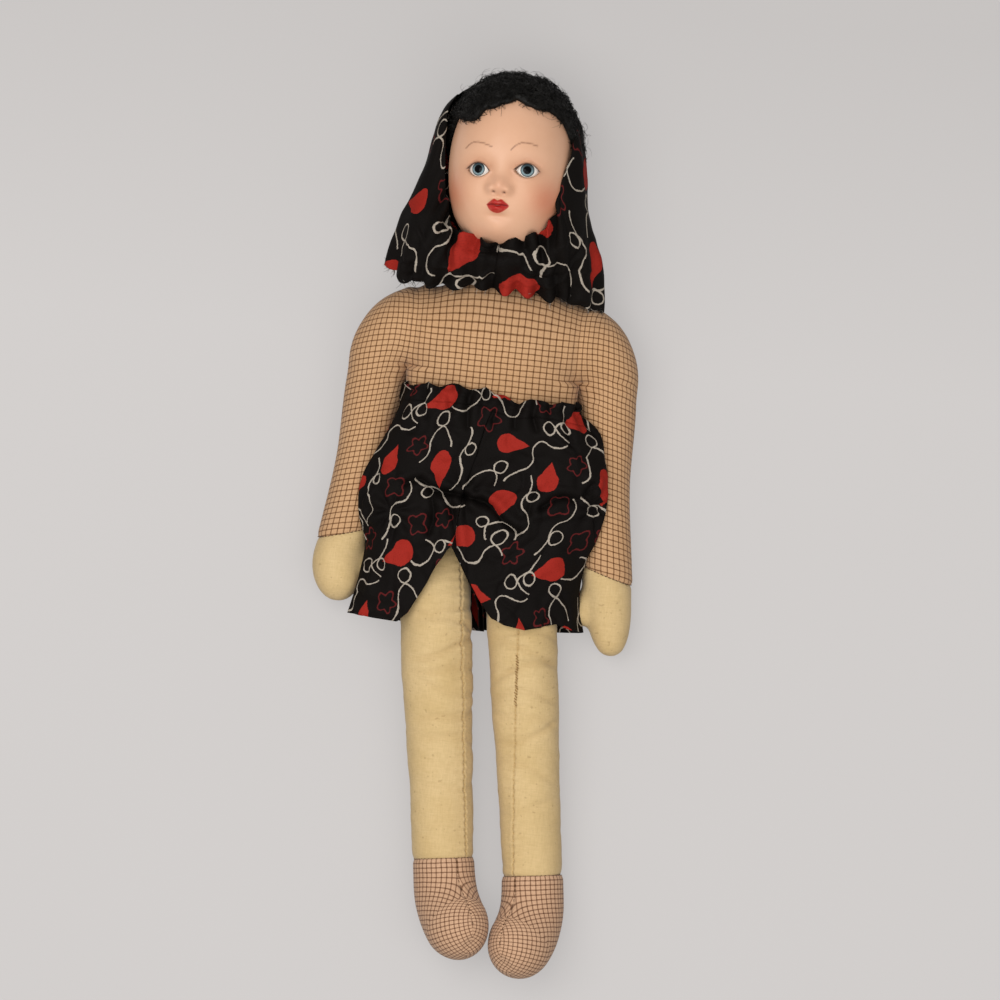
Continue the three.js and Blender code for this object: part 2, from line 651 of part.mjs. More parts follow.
// The bunched cloth under the chin, pleated round a line across the neck.
function scarfTie() {
  const rings = [];
  const steps = 14;
  const chin = headCentre.y - HEAD_LENGTH / 2;
  const tieZ = NECK_HEIGHT + NECK_BALL_RADIUS + TIE_THICKNESS / 2 + GAP;
  const centre = at(0, chin - TIE_LENGTH / 2 - 2 * GAP, tieZ);
  for (let i = 0; i <= steps; i++) {
    const share = i / steps;
    const x = lerp(-TIE_WIDTH / 2, TIE_WIDTH / 2, share);
    const bulge = Math.sqrt(Math.max(0.06, 1 - (2 * share - 1) ** 2 * 0.94));
    const pleat = 1 + 0.1 * Math.cos(2 * Math.PI * TIE_PLEATS * share);
    const sag = 4 * (2 * share - 1) ** 2;
    const middle = centre.clone().add(at(x, sag, -sag));
    rings.push(oval(middle, Y, Z, (TIE_LENGTH / 2) * bulge, (TIE_THICKNESS / 2) * bulge * pleat, 2, 12));
  }
  return skin(rings);
}

// Shorts
// A gathered seat on a waist elastic, and two wide legs with a slanted opening at the front of the hem.

const hipY = -TORSO_BELOW;
const crotchY = hipY - CROTCH_ROOM;
const hemY = crotchY - PANT_LENGTH;
const seatWidth = TRUNK_WIDTH + SEAT_EASE;
const seatTop = -WAIST_DOWN + ELASTIC_WIDTH / 2;
const elasticInner = GAP;
const elasticOuter = elasticInner + ELASTIC_THICKNESS;

function trunkRing(y, grow, count = 28) {
  const s = trunkSection(trunkShare(y), grow);
  return oval(at(0, y, s.z), X, Z, s.halfWidth, s.halfDepth, TRUNK_SQUARE, count);
}
function waistElastic() {
  const [top, bottom] = [seatTop - GAP, seatTop - ELASTIC_WIDTH];
  return skin(
    [
      trunkRing(top, elasticOuter),
      trunkRing(bottom, elasticOuter),
      trunkRing(bottom, elasticInner),
      trunkRing(top, elasticInner),
    ],
    true,
  );
}

// The front of the shorts spreads sideways above the height of the arms and falls in soft folds.
const SHORTS_ROUND = 44;
const armTop = (y) => {
  const share = (SHOULDER_UP - y) / ARM_LENGTH;
  const height = lerp(elbowAt.z, wristAt.z, Math.max(0, (share - 0.25) / 0.75));
  return height + UPPER_ARM_RADIUS + 2 * GAP;
};
function spread(point, angle, flare, fold, outward) {
  const above = smoothstep(point.z, armTop(point.y), armTop(point.y) + 9);
  const front = Math.max(0, Math.sin(angle));
  const wave = fold * front * Math.cos(2 * FOLDS * (angle - Math.PI / 2));
  return point.clone().add(at(outward * flare * above, 0, wave));
}

// The seat hangs from the elastic and widens to the crotch.
function seatRing(y, grow) {
  const share = (seatTop - y) / (seatTop - crotchY);
  const waist = trunkRing(seatTop, elasticOuter + GAP + grow, SHORTS_ROUND);
  const halfWidth = seatWidth / 2 - SHORTS_CLOTH + grow;
  const depth = lerp(TORSO_DEPTH, SEAT_DEPTH, share);
  const halfDepth = depth / 2 - SHORTS_CLOTH + grow;
  const low = oval(at(0, y, depth / 2 - GAP), X, Z, halfWidth, halfDepth, 2.4, SHORTS_ROUND);
  return waist.map((p, j) => {
    const angle = (2 * Math.PI * (j + 0.5)) / SHORTS_ROUND;
    const eased = smoothstep(share, 0, 0.4);
    const q = at(lerp(p.x, low[j].x, eased), y, lerp(p.z, low[j].z, eased));
    const outward = Math.sign(q.x) * Math.min(1, Math.abs(q.x) / (seatWidth / 3));
    return spread(q, angle, SHORTS_FLARE * share, FOLD_DEPTH * smoothstep(share, 0, 0.3), outward);
  });
}
function shortsSeat() {
  const ys = [0, 0.16, 0.4, 0.7, 1].map((s) => lerp(seatTop, crotchY, s));
  const outer = ys.map((y) => seatRing(y, SHORTS_CLOTH));
  const inner = ys.map((y) => seatRing(y, 0)).reverse();
  return skin([...outer, ...inner], true).intersect(aboveFloor);
}

function pantRings(side, grow) {
  const steps = 5;
  const rings = [];
  for (let i = 0; i <= steps; i++) {
    const share = i / steps;
    const y = lerp(crotchY - GAP, hemY, share);
    const lean = Math.max(0, hipY - y) * Math.tan(deg(LEG_SWING));
    const topHalf = seatWidth / 4 - GAP;
    const half = lerp(topHalf, PANT_HEM_WIDTH[keyOf(side)] / 2, share);
    const x = lean + side * (GAP + half);
    const eased = smoothstep(share, 0, 0.7);
    const halfDepth = lerp(SEAT_DEPTH / 2 - SHORTS_CLOTH, THIGH_RADIUS + PANT_EASE, eased);
    const z = halfDepth + SHORTS_CLOTH - GAP;
    const ring = oval(at(x, y, z), X, Z, half - SHORTS_CLOTH + grow, halfDepth + grow, 2.8, 28);
    const flare = lerp(SHORTS_FLARE, HEM_FLARE, smoothstep(share, 0, 0.8));
    const outward = (p) => side * smoothstep((p.x - x) * side, 0, half);
    rings.push(ring.map((p) => spread(p, 0, flare, 0, outward(p))));
  }
  return rings;
}
function pantLeg(side) {
  const outer = pantRings(side, SHORTS_CLOTH);
  const inner = pantRings(side, 0).reverse();
  const slit = new THREE.Shape().moveTo(0, 0);
  const width = side > 0 ? SLIT_RISE * 0.3 : SLIT_RISE * 0.52;
  slit.lineTo(-side * width * 0.5, SLIT_RISE).lineTo(side * width, 0).closePath();
  const cut = new THREE.ExtrudeGeometry(slit, { depth: FAR, bevelEnabled: false });
  const lean = (hipY - hemY) * Math.tan(deg(LEG_SWING));
  cut.translate(lean, hemY - GAP, THIGH_RADIUS * 1.4);
  return largest(skin([...outer, ...inner], true).intersect(aboveFloor).subtract(solid(cut)));
}

// Materials
const finish = (color, roughness) => new THREE.MeshStandardMaterial({ color, roughness, metalness: 0 });
const checkCloth = finish("#cba877", 0.9);
const pinkCheckCloth = finish("#c9a084", 0.9);
const yellowCotton = finish("#dcc487", 0.9);
const printCloth = finish("#151112", 0.85);
const stuffingWool = finish("#d8cfbd", 1);
const paintedHead = finish("#dba684", 0.42);
const eyeGlaze = finish("#e9e6e0", 0.15);
const plush = finish("#0d0c0c", 0.95);
const elasticBand = finish("#d9d4c8", 0.8);
const sewingThread = finish("#e2cf98", 0.85);

// The doll
function piece(name, form, material) {
  const mesh = form.getMesh();
  const geometry = new THREE.BufferGeometry()
    .setAttribute("position", new THREE.BufferAttribute(mesh.vertProperties.slice(), 3))
    .setIndex(new THREE.BufferAttribute(mesh.triVerts.slice(), 1));
  geometry.computeVertexNormals();
  const made = new THREE.Mesh(geometry, material);
  made.name = name;
  return made;
}

const doll = new THREE.Group();
const cover = torsoCover();
doll.add(
  piece("torso_front_panel", largest(cover.intersect(frontHalf)), checkCloth),
  piece("torso_back_panel", largest(cover.intersect(backHalf)), checkCloth),
  piece("torso_stuffing", torsoStuffing(), stuffingWool),
  piece("neck_plug", neckPlug(), yellowCotton),
  piece("waist_elastic", waistElastic(), elasticBand),
  piece("shorts_seat", shortsSeat(), printCloth),
);
for (const [key, side] of Object.entries({ left: 1, right: -1 })) {
  doll.add(
    piece(`arm_${key}_sleeve`, armCover(side), checkCloth),
    piece(`hand_${key}_mitten`, handCover(side), yellowCotton),
    piece(`arm_${key}_stuffing`, armStuffing(side), stuffingWool),
    piece(`leg_${key}_tube`, legCover(side), yellowCotton),
    piece(`foot_${key}_sock`, footCover(side), pinkCheckCloth),
    piece(`leg_${key}_stuffing`, legStuffing(side), stuffingWool),
    piece(`hip_${key}_stitches`, hipThread(side), sewingThread),
    piece(`shorts_${key}_leg`, pantLeg(side), printCloth),
  );
}

const head = new THREE.Group();
head.applyMatrix4(headTurn);
head.add(piece("head_shell", headShell(), paintedHead), piece("wig_cap", wig(), plush));
for (const [key, side] of Object.entries({ left: 1, right: -1 })) {
  head.add(piece(`eye_${key}`, ball(eyeCentre(side), EYE_RADIUS), eyeGlaze));
}
doll.add(
  head,
  piece("kerchief_hood", hood(), printCloth),
  piece("kerchief_drape", drape(), printCloth),
  piece("kerchief_tie", scarfTie(), printCloth),
);

export default doll;
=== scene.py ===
import math
import bmesh
import bpy
import numpy as np
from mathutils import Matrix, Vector, noise
from mathutils.bvhtree import BVHTree


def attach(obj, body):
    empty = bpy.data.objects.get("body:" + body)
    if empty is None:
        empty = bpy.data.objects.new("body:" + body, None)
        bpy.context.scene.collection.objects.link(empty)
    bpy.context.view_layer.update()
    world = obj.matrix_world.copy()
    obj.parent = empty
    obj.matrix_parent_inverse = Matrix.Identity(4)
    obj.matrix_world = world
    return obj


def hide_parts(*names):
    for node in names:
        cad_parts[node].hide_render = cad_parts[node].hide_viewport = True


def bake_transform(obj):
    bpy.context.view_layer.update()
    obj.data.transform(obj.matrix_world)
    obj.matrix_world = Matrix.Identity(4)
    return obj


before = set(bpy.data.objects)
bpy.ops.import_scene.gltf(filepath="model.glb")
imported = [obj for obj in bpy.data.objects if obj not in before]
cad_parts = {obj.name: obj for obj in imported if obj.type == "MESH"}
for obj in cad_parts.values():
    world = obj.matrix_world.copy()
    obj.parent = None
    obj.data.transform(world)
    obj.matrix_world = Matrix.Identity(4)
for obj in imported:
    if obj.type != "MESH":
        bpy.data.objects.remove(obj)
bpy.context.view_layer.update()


# Studio
# The doll lies on its back on pale grey paper. The camera looks straight down on it, turned six degrees,
# and a wide soft box towards the head adds a little direction to even light from all round.
VIEW_WIDTH = 0.530  # metres of floor across the picture
VIEW_DISTANCE = 20  # far off, so that the raised face isn't shifted
VIEW_MIDDLE, VIEW_TURN = (0.0105, -0.0782, 0.03), 6  # metres, and degrees
SENSOR = 36
PAPER, PAPER_MOTTLE, GLOW = "7c7977", "797674", "dad7d6"
FLOOR_REACH, FLOOR_Z = 3000, -0.3


def linear(code):
    """An sRGB hex colour as linear RGBA."""
    parts = [int(code[i:i + 2], 16) / 255 for i in (0, 2, 4)]
    return (*[c / 12.92 if c <= 0.04045 else ((c + 0.055) / 1.055) ** 2.4 for c in parts], 1)


def node(tree, kind, inputs=(), out=0, **settings):
    """Adds a node with its settings, values and links, and returns one of its outputs."""
    made = tree.nodes.new(kind)
    for key, value in settings.items():
        setattr(made, key, value)
    for key, value in inputs.items() if isinstance(inputs, dict) else enumerate(inputs):
        if isinstance(value, bpy.types.NodeSocket):
            tree.links.new(value, made.inputs[key])
        elif value is not None:
            made.inputs[key].default_value = value
    return made.outputs[out] if out is not None else made


def new_material(name):
    """An empty node material and its tree."""
    made = bpy.data.materials.new(name)
    made.use_nodes = True
    made.node_tree.nodes.clear()
    return made, made.node_tree


def new_piece(name, points, faces, material, smooth=True):
    """A mesh object from points in millimetres, with its place in its mesh."""
    mesh = bpy.data.meshes.new(name)
    mesh.from_pydata(np.asarray(points, float) / 1000, [], [list(map(int, f)) for f in faces])
    mesh.polygons.foreach_set("use_smooth", [smooth] * len(mesh.polygons))
    made = bpy.data.objects.new(name, mesh)
    bpy.context.scene.collection.objects.link(made)
    made.data.materials.append(material)
    return made


# Matt paper: an even pale grey. A painted glow that only the camera and reflections see keeps the shadow under the
# doll faint, and fades towards the head end as painted shade.
paper, tree = new_material("matt_paper")
place = node(tree, "ShaderNodeTexCoord", out="Object")
mottle = node(tree, "ShaderNodeTexNoise", {"Vector": place, "Scale": 3.0})
tone = node(
    tree, "ShaderNodeMix", {0: mottle, 6: linear(PAPER), 7: linear(PAPER_MOTTLE)}, out=2, data_type="RGBA"
)
rays = node(tree, "ShaderNodeLightPath", out=None).outputs
seen = node(tree, "ShaderNodeMath", [rays["Is Camera Ray"], rays["Is Glossy Ray"]], operation="MAXIMUM")
seen = node(tree, "ShaderNodeMath", [seen, rays["Is Transmission Ray"]], operation="MAXIMUM")
above = node(tree, "ShaderNodeSeparateXYZ", [place], out=1)
# the painted glow is a little weaker towards the head end: painted shade on the floor
fall_off = node(tree, "ShaderNodeMapRange", [above, 0.0, 0.19, 0.57, 0.48])
glow = node(tree, "ShaderNodeMath", [seen, fall_off], operation="MULTIPLY")
sheet = node(
    tree, "ShaderNodeBsdfPrincipled",
    {"Base Color": tone, "Roughness": 0.9, "Specular IOR Level": 0.0, "Emission Color": linear(GLOW),
     "Emission Strength": glow},
)
node(tree, "ShaderNodeOutputMaterial", {"Surface": sheet}, out=None)

corners = ((-1, -1), (1, -1), (1, 1), (-1, 1))
floor = new_piece(
    "floor", [(x * FLOOR_REACH, y * FLOOR_REACH, FLOOR_Z) for x, y in corners], [(0, 1, 2, 3)], paper
)

scene = bpy.context.scene
scene.view_settings.view_transform = "Standard"
camera = bpy.data.objects.new("camera", bpy.data.cameras.new("camera"))
camera.data.sensor_width = SENSOR
camera.data.lens = SENSOR * VIEW_DISTANCE / VIEW_WIDTH
camera.location = Vector(VIEW_MIDDLE) + Vector((0, 0, VIEW_DISTANCE))
camera.rotation_euler = (0, 0, math.radians(VIEW_TURN))
scene.collection.objects.link(camera)
scene.camera = camera

world = bpy.data.worlds.new("even_light")
scene.world = world
world.use_nodes = True
world.node_tree.nodes["Background"].inputs["Color"].default_value = linear("fffefd")
world.node_tree.nodes["Background"].inputs["Strength"].default_value = 0.55

for name, place, size, watts in (
    ("key_box", (-0.55, 0.1, 1.6), 1.3, 18), ("fill_box", (0.5, -0.6, 1.5), 1.4, 9),
):
    lamp = bpy.data.lights.new(name, "AREA")
    lamp.shape, lamp.size, lamp.energy = "SQUARE", size, watts
    box = bpy.data.objects.new(name, lamp)
    box.location = place
    box.rotation_euler = (Vector((0, -0.05, 0)) - Vector(place)).to_track_quat("-Z", "Y").to_euler()
    scene.collection.objects.link(box)


# Torso and sleeves
# Tan check cotton, cut in one with the arms as a front and a back and stuffed hard with wadding. The sleeves are
# separate bodies, cut off at the round arm roots, so that they turn there.
TRUNK_WIDTH, TORSO_DEPTH, TORSO_BELOW, TORSO_ABOVE = 87, 61, 90, 38
SHOULDER_X, SHOULDER_Y, SHOULDER_Z, SHOULDER_RADIUS = 46, 8, 26, 21.5
UPPER_ARM_RADIUS, WRIST_RADIUS = 15.6, 13.8
HIP_Z, NECK_Z, HIP_GAP = 20.8, 34, 0.8
CHECK_PITCH, CHECK_LINE, WEAVE = (3.5, 3.0), 0.57, 0.8  # millimetres; the pitch across and down
SIDES = (("left", 1), ("right", -1))


def smoothstep(x, low, high):
    """From 0 at low to 1 at high, with soft ends."""
    t = np.clip((np.asarray(x, float) - low) / (high - low), 0, 1)
    return t * t * (3 - 2 * t)


def eased(rows, share):
    """Columns of a table read at shares, on a smooth curve through its rows."""
    rows = np.array(rows, float)
    x, values = rows[:, 0], rows[:, 1:]
    slope = np.gradient(values, x, axis=0)
    share = np.atleast_1d(np.asarray(share, float))
    i = np.clip(np.searchsorted(x, share, side="right") - 1, 0, len(x) - 2)
    h = (x[i + 1] - x[i])[:, None]
    s = np.clip((share[:, None] - x[i][:, None]) / h, 0, 1)
    return (
        (2 * s**3 - 3 * s**2 + 1) * values[i]
        + (s**3 - 2 * s**2 + s) * h * slope[i]
        + (3 * s**2 - 2 * s**3) * values[i + 1]
        + (s**3 - s**2) * h * slope[i + 1]
    )


def unit(vectors):
    """The vectors along the last axis, each made one long."""
    return vectors / np.maximum(np.linalg.norm(vectors, axis=-1, keepdims=True), 1e-9)


def bow(c, power):
    """A cosine or sine, made squarer by a power above two."""
    return np.sign(c) * np.abs(c) ** (2 / power)


def oval(centre, across, up, half_across, half_up, power=2, count=96):
    """A ring that starts at the back, goes round by the across side and ends where it began."""
    a = 2 * np.pi * np.arange(count) / count - np.pi / 2
    return (
        np.asarray(centre, float)
        + np.outer(half_across * bow(np.cos(a), power), across)
        + np.outer(half_up * bow(np.sin(a), power), up)
    )


def loft_faces(rows, columns, first=0, cyclic=True, close=True):
    """Quads between rings of points, and fans to two poles that follow the points."""
    i, j = np.meshgrid(np.arange(rows - 1), np.arange(columns if cyclic else columns - 1), indexing="ij")
    k = (j + 1) % columns
    at = lambda r, c: (first + r * columns + c).ravel()
    faces = np.stack([at(i, j), at(i, k), at(i + 1, k), at(i + 1, j)], 1).tolist()
    if close:
        pole = first + rows * columns
        last = first + (rows - 1) * columns
        faces += [(pole, first + (c + 1) % columns, first + c) for c in range(columns)]
        faces += [(pole + 1, last + c, last + (c + 1) % columns) for c in range(columns)]
    return faces


def rework(piece, change):
    """Runs a change on the piece's mesh."""
    mesh = bmesh.new()
    mesh.from_mesh(piece.data)
    change(mesh)
    mesh.to_mesh(piece.data)
    mesh.free()


def face_outward(mesh):
    """Turns every face of a closed mesh to the outside."""
    bmesh.ops.recalc_face_normals(mesh, faces=mesh.faces)


def closed_lofts(name, lofts, material):
    """Several closed lofts as one object."""
    points, faces = [], []
    for rings in lofts:
        rings = np.asarray(rings)
        faces += loft_faces(rings.shape[0], rings.shape[1], len(points))
        points += rings.reshape(-1, 3).tolist() + [rings[0].mean(0), rings[-1].mean(0)]
    made = new_piece(name, points, faces, material)
    rework(made, face_outward)
    return made


def settle(piece):
    """Makes what the piece's modifiers give its plain mesh."""
    graph = bpy.context.evaluated_depsgraph_get()
    mesh = bpy.data.meshes.new_from_object(piece.evaluated_get(graph))
    piece.modifiers.clear()
    piece.data = mesh
    mesh.polygons.foreach_set("use_smooth", [True] * len(mesh.polygons))


def melt(piece, voxel, rounds):
    """Joins overlapping lofts into one skin and softens where they meet."""
    remesh = piece.modifiers.new("join", "REMESH")
    remesh.mode, remesh.voxel_size = "VOXEL", voxel / 1000
    soften = piece.modifiers.new("soften", "SMOOTH")
    soften.factor, soften.iterations = 0.5, rounds
    settle(piece)


def points_of(piece):
    """The piece's points, in millimetres."""
    flat = np.empty(len(piece.data.vertices) * 3)
    piece.data.vertices.foreach_get("co", flat)
    return flat.reshape(-1, 3) * 1000


def set_points(piece, points):
    """Moves the piece's points to places in millimetres."""
    piece.data.vertices.foreach_set("co", (np.asarray(points) / 1000).ravel())
    piece.data.update()


def cut(piece, place, normal):
    """Cuts the piece by a plane, keeps the side that the normal leaves and closes it."""

    def halve(mesh):
        made = bmesh.ops.bisect_plane(
            mesh, geom=mesh.verts[:] + mesh.edges[:] + mesh.faces[:], plane_co=Vector(place) / 1000,
            plane_no=Vector(normal), clear_outer=True,
        )
        bmesh.ops.edgeloop_fill(mesh, edges=[e for e in made["geom_cut"] if isinstance(e, bmesh.types.BMEdge)])

    rework(piece, halve)


def copied(piece, name):
    """A second piece with a mesh of its own."""
    made = piece.copy()
    made.data = piece.data.copy()
    made.name = name
    bpy.context.scene.collection.objects.link(made)
    return made


TRUNK = [  # share of the length from hip seam to neck, share of width, share of depth
    (0, 0.9, 0.03), (0.05, 0.91, 0.17), (0.13, 0.95, 0.41), (0.24, 1, 0.64), (0.38, 0.99, 0.78), (0.53, 0.97, 0.82),
    (0.63, 0.98, 0.95), (0.7, 1, 1), (0.79, 1, 0.97), (0.87, 0.95, 0.83), (0.94, 0.78, 0.6), (1, 0.4, 0.3),
]
TRUNK_SQUARE, TRUNK_LEAST = 2.3, 0.3  # how square a section is, and its least half depth


def trunk_section(y):
    """Half width, half depth and middle height of the trunk at heights y."""
    share = np.clip((np.asarray(y, float) + TORSO_BELOW) / (TORSO_BELOW + TORSO_ABOVE), 0, 1)
    wide, deep = eased(TRUNK, share).T
    end = np.where(share < TORSO_BELOW / (TORSO_BELOW + TORSO_ABOVE), HIP_Z, NECK_Z)
    middle = end + (TORSO_DEPTH / 2 - TRUNK_LEAST - end) * deep
    return TRUNK_WIDTH / 2 * wide, np.maximum(TORSO_DEPTH / 2 * deep, TRUNK_LEAST), middle


trunk_rings = []
for y in np.linspace(HIP_GAP - TORSO_BELOW, TORSO_ABOVE, 70):
    half_width, half_depth, middle = (float(v[0]) for v in trunk_section([y]))
    trunk_rings.append(oval((0, y, middle), (1, 0, 0), (0, 0, 1), half_width, half_depth, TRUNK_SQUARE))
yoke_rings = []
for share in np.linspace(-1, 1, 41):
    bulge = 1 - share * share
    z = SHOULDER_Z + (TORSO_DEPTH / 2 - SHOULDER_Z) * bulge
    thick = SHOULDER_RADIUS + (TORSO_DEPTH / 2 - 2 - SHOULDER_RADIUS) * bulge
    yoke_rings.append(
        oval((share * SHOULDER_X, SHOULDER_Y, z), (0, 1, 0), (0, 0, 1), SHOULDER_RADIUS + 3 * bulge, thick)
    )

ARM_POINTS = np.array([  # middle line of the left arm, from inside the shoulder to the wrist
    (32, 12.3, 26), (52.2, 5, 26), (59.4, -4.9, 24), (61.6, -21.5, 20.5), (63.8, -65.8, 17.2), (70.5, -110, 13.8),
])
ARM_RINGS, ROOT_SHARE = 90, 0.36  # how far down the arm its root narrows
CUFF_OVERRUN = 10  # the sleeve is made longer and cut off along the cuff seam


def through(points, count):
    """Points at even steps on a smooth curve through the given ones."""
    points = np.asarray(points, float)
    steps = np.concatenate([[0], np.cumsum(np.linalg.norm(np.diff(points, axis=0), axis=1))])
    fine = eased(np.column_stack([steps, points]), np.linspace(0, steps[-1], 600))
    run = np.concatenate([[0], np.cumsum(np.linalg.norm(np.diff(fine, axis=0), axis=1))])
    even = np.linspace(0, run[-1], count)
    return np.column_stack([np.interp(even, run, fine[:, k]) for k in range(3)])


def mirror(rings):
    """The same form on the doll's right."""
    return np.asarray(rings) * (-1, 1, 1)


arm_line = through(ARM_POINTS, ARM_RINGS)
arm_way = unit(np.gradient(arm_line, axis=0))
wrist, wrist_way = arm_line[-1], arm_way[-1]
arm_rings = []
for share, centre, way in zip(np.linspace(0, 1, ARM_RINGS), arm_line, arm_way):
    across = np.array([-way[1], way[0], 0]) / math.hypot(way[0], way[1])
    radius = SHOULDER_RADIUS + (UPPER_ARM_RADIUS - SHOULDER_RADIUS) * float(smoothstep(share, 0, ROOT_SHARE))
    radius += (WRIST_RADIUS - radius) * max(0, share - ROOT_SHARE) / (1 - ROOT_SHARE)
    arm_rings.append(oval(centre, across, np.cross(way, across), radius, radius, count=64))
arm_rings += [arm_rings[-1] + wrist_way * CUFF_OVERRUN * k / 5 for k in range(1, 6)]


# Yarn-dyed check cotton: a tan ground with fine brown lines both ways, darker where they cross, matt and a
# little uneven, with a weave that is drawn at 0.8 mm because the real threads are too fine to show.
def check_cotton(name, ground, shade, line, pitch=CHECK_PITCH):
    """The check cloth's material, with its lines at a pitch in millimetres, across and down."""
    made, tree = new_material(name)
    cloth = node(tree, "ShaderNodeUVMap", uv_map="cloth")
    waver = node(tree, "ShaderNodeTexNoise", {"Vector": cloth, "Scale": 90.0, "Detail": 2.0}, out="Color")
    shift = node(tree, "ShaderNodeVectorMath", [waver, (0.5, 0.5, 0.5)], operation="SUBTRACT")
    moved = node(tree, "ShaderNodeVectorMath", [shift, (0.0007,) * 3, cloth], operation="MULTIPLY_ADD")
    axes = node(tree, "ShaderNodeSeparateXYZ", [moved], out=None)
    fade = node(tree, "ShaderNodeTexNoise", {"Vector": cloth, "Scale": 420.0, "Detail": 3.0})
    strength = node(tree, "ShaderNodeMapRange", [fade, 0.25, 0.75, 0.7, 1.0])
    lines = []
    for axis in (0, 1):
        beat = node(tree, "ShaderNodeMath", [axes.outputs[axis], pitch[axis] / 2000], operation="PINGPONG")
        edge = node(
            tree, "ShaderNodeMapRange", [beat, 0.0, CHECK_LINE / 1000, 1.0, 0.0], interpolation_type="SMOOTHSTEP"
        )
        lines.append(node(tree, "ShaderNodeMath", [edge, strength], operation="MULTIPLY"))
    soil_and_shade = node(tree, "ShaderNodeTexNoise", {"Vector": cloth, "Scale": 28.0, "Detail": 5.0})
    fleck = node(tree, "ShaderNodeTexNoise", {"Vector": cloth, "Scale": 1500.0, "Detail": 1.0})
    dust = node(tree, "ShaderNodeMapRange", [fleck, 0.35, 0.7, 0.0, 0.22])
    crossing = node(tree, "ShaderNodeMath", lines, operation="MULTIPLY")
    colour = linear(ground)
    for share, tone in (
        (soil_and_shade, shade), (dust, "8f6a48"), (lines[0], line), (lines[1], line), (crossing, "3f2612"),
    ):
        colour = node(tree, "ShaderNodeMix", {0: share, 6: colour, 7: linear(tone)}, out=2, data_type="RGBA")
    # half a wave, 3.14 / 20 of a unit at scale 1, is one thread
    weave = [
        node(
            tree, "ShaderNodeTexWave", {"Vector": cloth, "Scale": 1000 / WEAVE / 20 * 3.14, "Distortion": 1.5},
            wave_type="BANDS", bands_direction=way, out="Fac",
        )
        for way in ("X", "Y")
    ]
    threads = node(tree, "ShaderNodeMath", weave, operation="ADD")
    relief = node(tree, "ShaderNodeBump", {"Strength": 0.25, "Distance": 0.0002, "Height": threads})
    skin = node(
        tree, "ShaderNodeBsdfPrincipled",
        {"Base Color": colour, "Roughness": 0.92, "Specular IOR Level": 0.15, "Sheen Weight": 0.12,
         "Sheen Roughness": 0.5, "Normal": relief},
    )
    node(tree, "ShaderNodeOutputMaterial", {"Surface": skin}, out=None)
    return made


tan_check = check_cotton("tan_check_cotton", "c69f79", "b98f66", "583310")


def lumps(points, scale, seed):
    """A soft random height for each point, from about -1 to 1."""
    return np.array([noise.noise(Vector(p) / scale + Vector((seed, seed * 1.7, 0))) for p in points])


ARM_ABOVE, ARM_RUN, ARM_SINK = 22, 111, 12.2  # the arm's length above the elbow and in all, and how far it sinks
ARM_CLOTH_RADIUS, ARM_CLOTH_TAPER, ARM_CLOTH_TWIST = 18, 4.2, 0.26
ARM_CLOTH_AT = (66, -21.5)  # where the elbow's middle lies on the flat cloth
LUMP_HIGH, LUMP_WIDE = 0.7, 26
FOLD_BELOW, FOLD_SLANT, FOLD_WIDE, FOLD_DEEP = -12, 0.25, 2.2, 1.5  # the left arm's fold, a little above its elbow
GAP_FROM, GAP_FULL = -46, -30  # heights where the gap below the armpits starts to close, and has closed
GAP_ROOM, PRESS = 0.9, 3.6  # how far the arms' inner walls first move off the torso, and how far all walls then move


def arm_place(points, side):
    """Distance down the straight arm from its elbow, and out from its middle line."""
    elbow, down = ARM_POINTS[3], ARM_POINTS[5] - ARM_POINTS[3]
    down = down[:2] / np.linalg.norm(down[:2])
    flat = points[:, :2] * (side, 1) - elbow[:2]
    return flat @ down, flat @ np.array([-down[1], down[0]])


def body_cloth(points, front):
    """Flat cloth coordinates in millimetres on the torso and the arms, on the front or the back panel."""
    x, y, z = points.T
    way = 1 if front else -1
    half_width, half_depth, middle = trunk_section(y)
    turn = np.arctan2(x / half_width, way * (z - middle) / half_depth)
    steps = (np.arange(24) + 0.5) / 24
    arc = np.sqrt(
        (half_width[:, None] * np.cos(turn[:, None] * steps)) ** 2
        + (half_depth[:, None] * np.sin(turn[:, None] * steps)) ** 2
    ).mean(1) * turn
    yoke = smoothstep(y, -34, 2)
    u = arc * (1 - yoke) + x * yoke
    over = SHOULDER_Y + 23 * np.arctan2(y - SHOULDER_Y, way * (z - SHOULDER_Z) + 2)
    v = np.where(y > SHOULDER_Y, over, y)
    for side in (-1, 1):
        down, out = arm_place(points, side)
        share = np.clip((down + ARM_ABOVE) / ARM_RUN, 0, 1)
        height = SHOULDER_Z - ARM_SINK * share
        radius = ARM_CLOTH_RADIUS - ARM_CLOTH_TAPER * share
        around = radius * np.arctan2(out, way * (z - height))
        arm_u = side * (ARM_CLOTH_AT[0] + around)
        arm_v = ARM_CLOTH_AT[1] - down + ARM_CLOTH_TWIST * around
        on_arm, below_armpit = smoothstep(x * side, 44.5, 46.5), smoothstep(-y, 12, 24)
        weight = np.maximum(smoothstep(x * side, 36, 62), on_arm * below_armpit)
        u = u * (1 - weight) + arm_u * weight
        v = v * (1 - weight) + arm_v * weight
    return np.column_stack([u, v])


def side_seam(points):
    """Height of the seam between front and back: level on the torso, sinking with the arm."""
    height = np.full(len(points), float(SHOULDER_Z))
    for side in (-1, 1):
        down, _ = arm_place(points, side)
        share = np.clip((down + ARM_ABOVE) / ARM_RUN, 0, 1)
        height -= ARM_SINK * share * smoothstep(points[:, 0] * side, 44, 48)
    return height


def corners_of(piece):
    """The point at each corner of the piece's faces."""
    corner = np.empty(len(piece.data.loops), int)
    piece.data.loops.foreach_get("vertex_index", corner)
    return corner


def lay_flat(piece, places, layer="cloth"):
    """Gives the piece flat coordinates, in metres, from a place in millimetres for each point."""
    uv = piece.data.uv_layers.new(name=layer)
    uv.data.foreach_set("uv", (places / 1000)[corners_of(piece)].ravel())


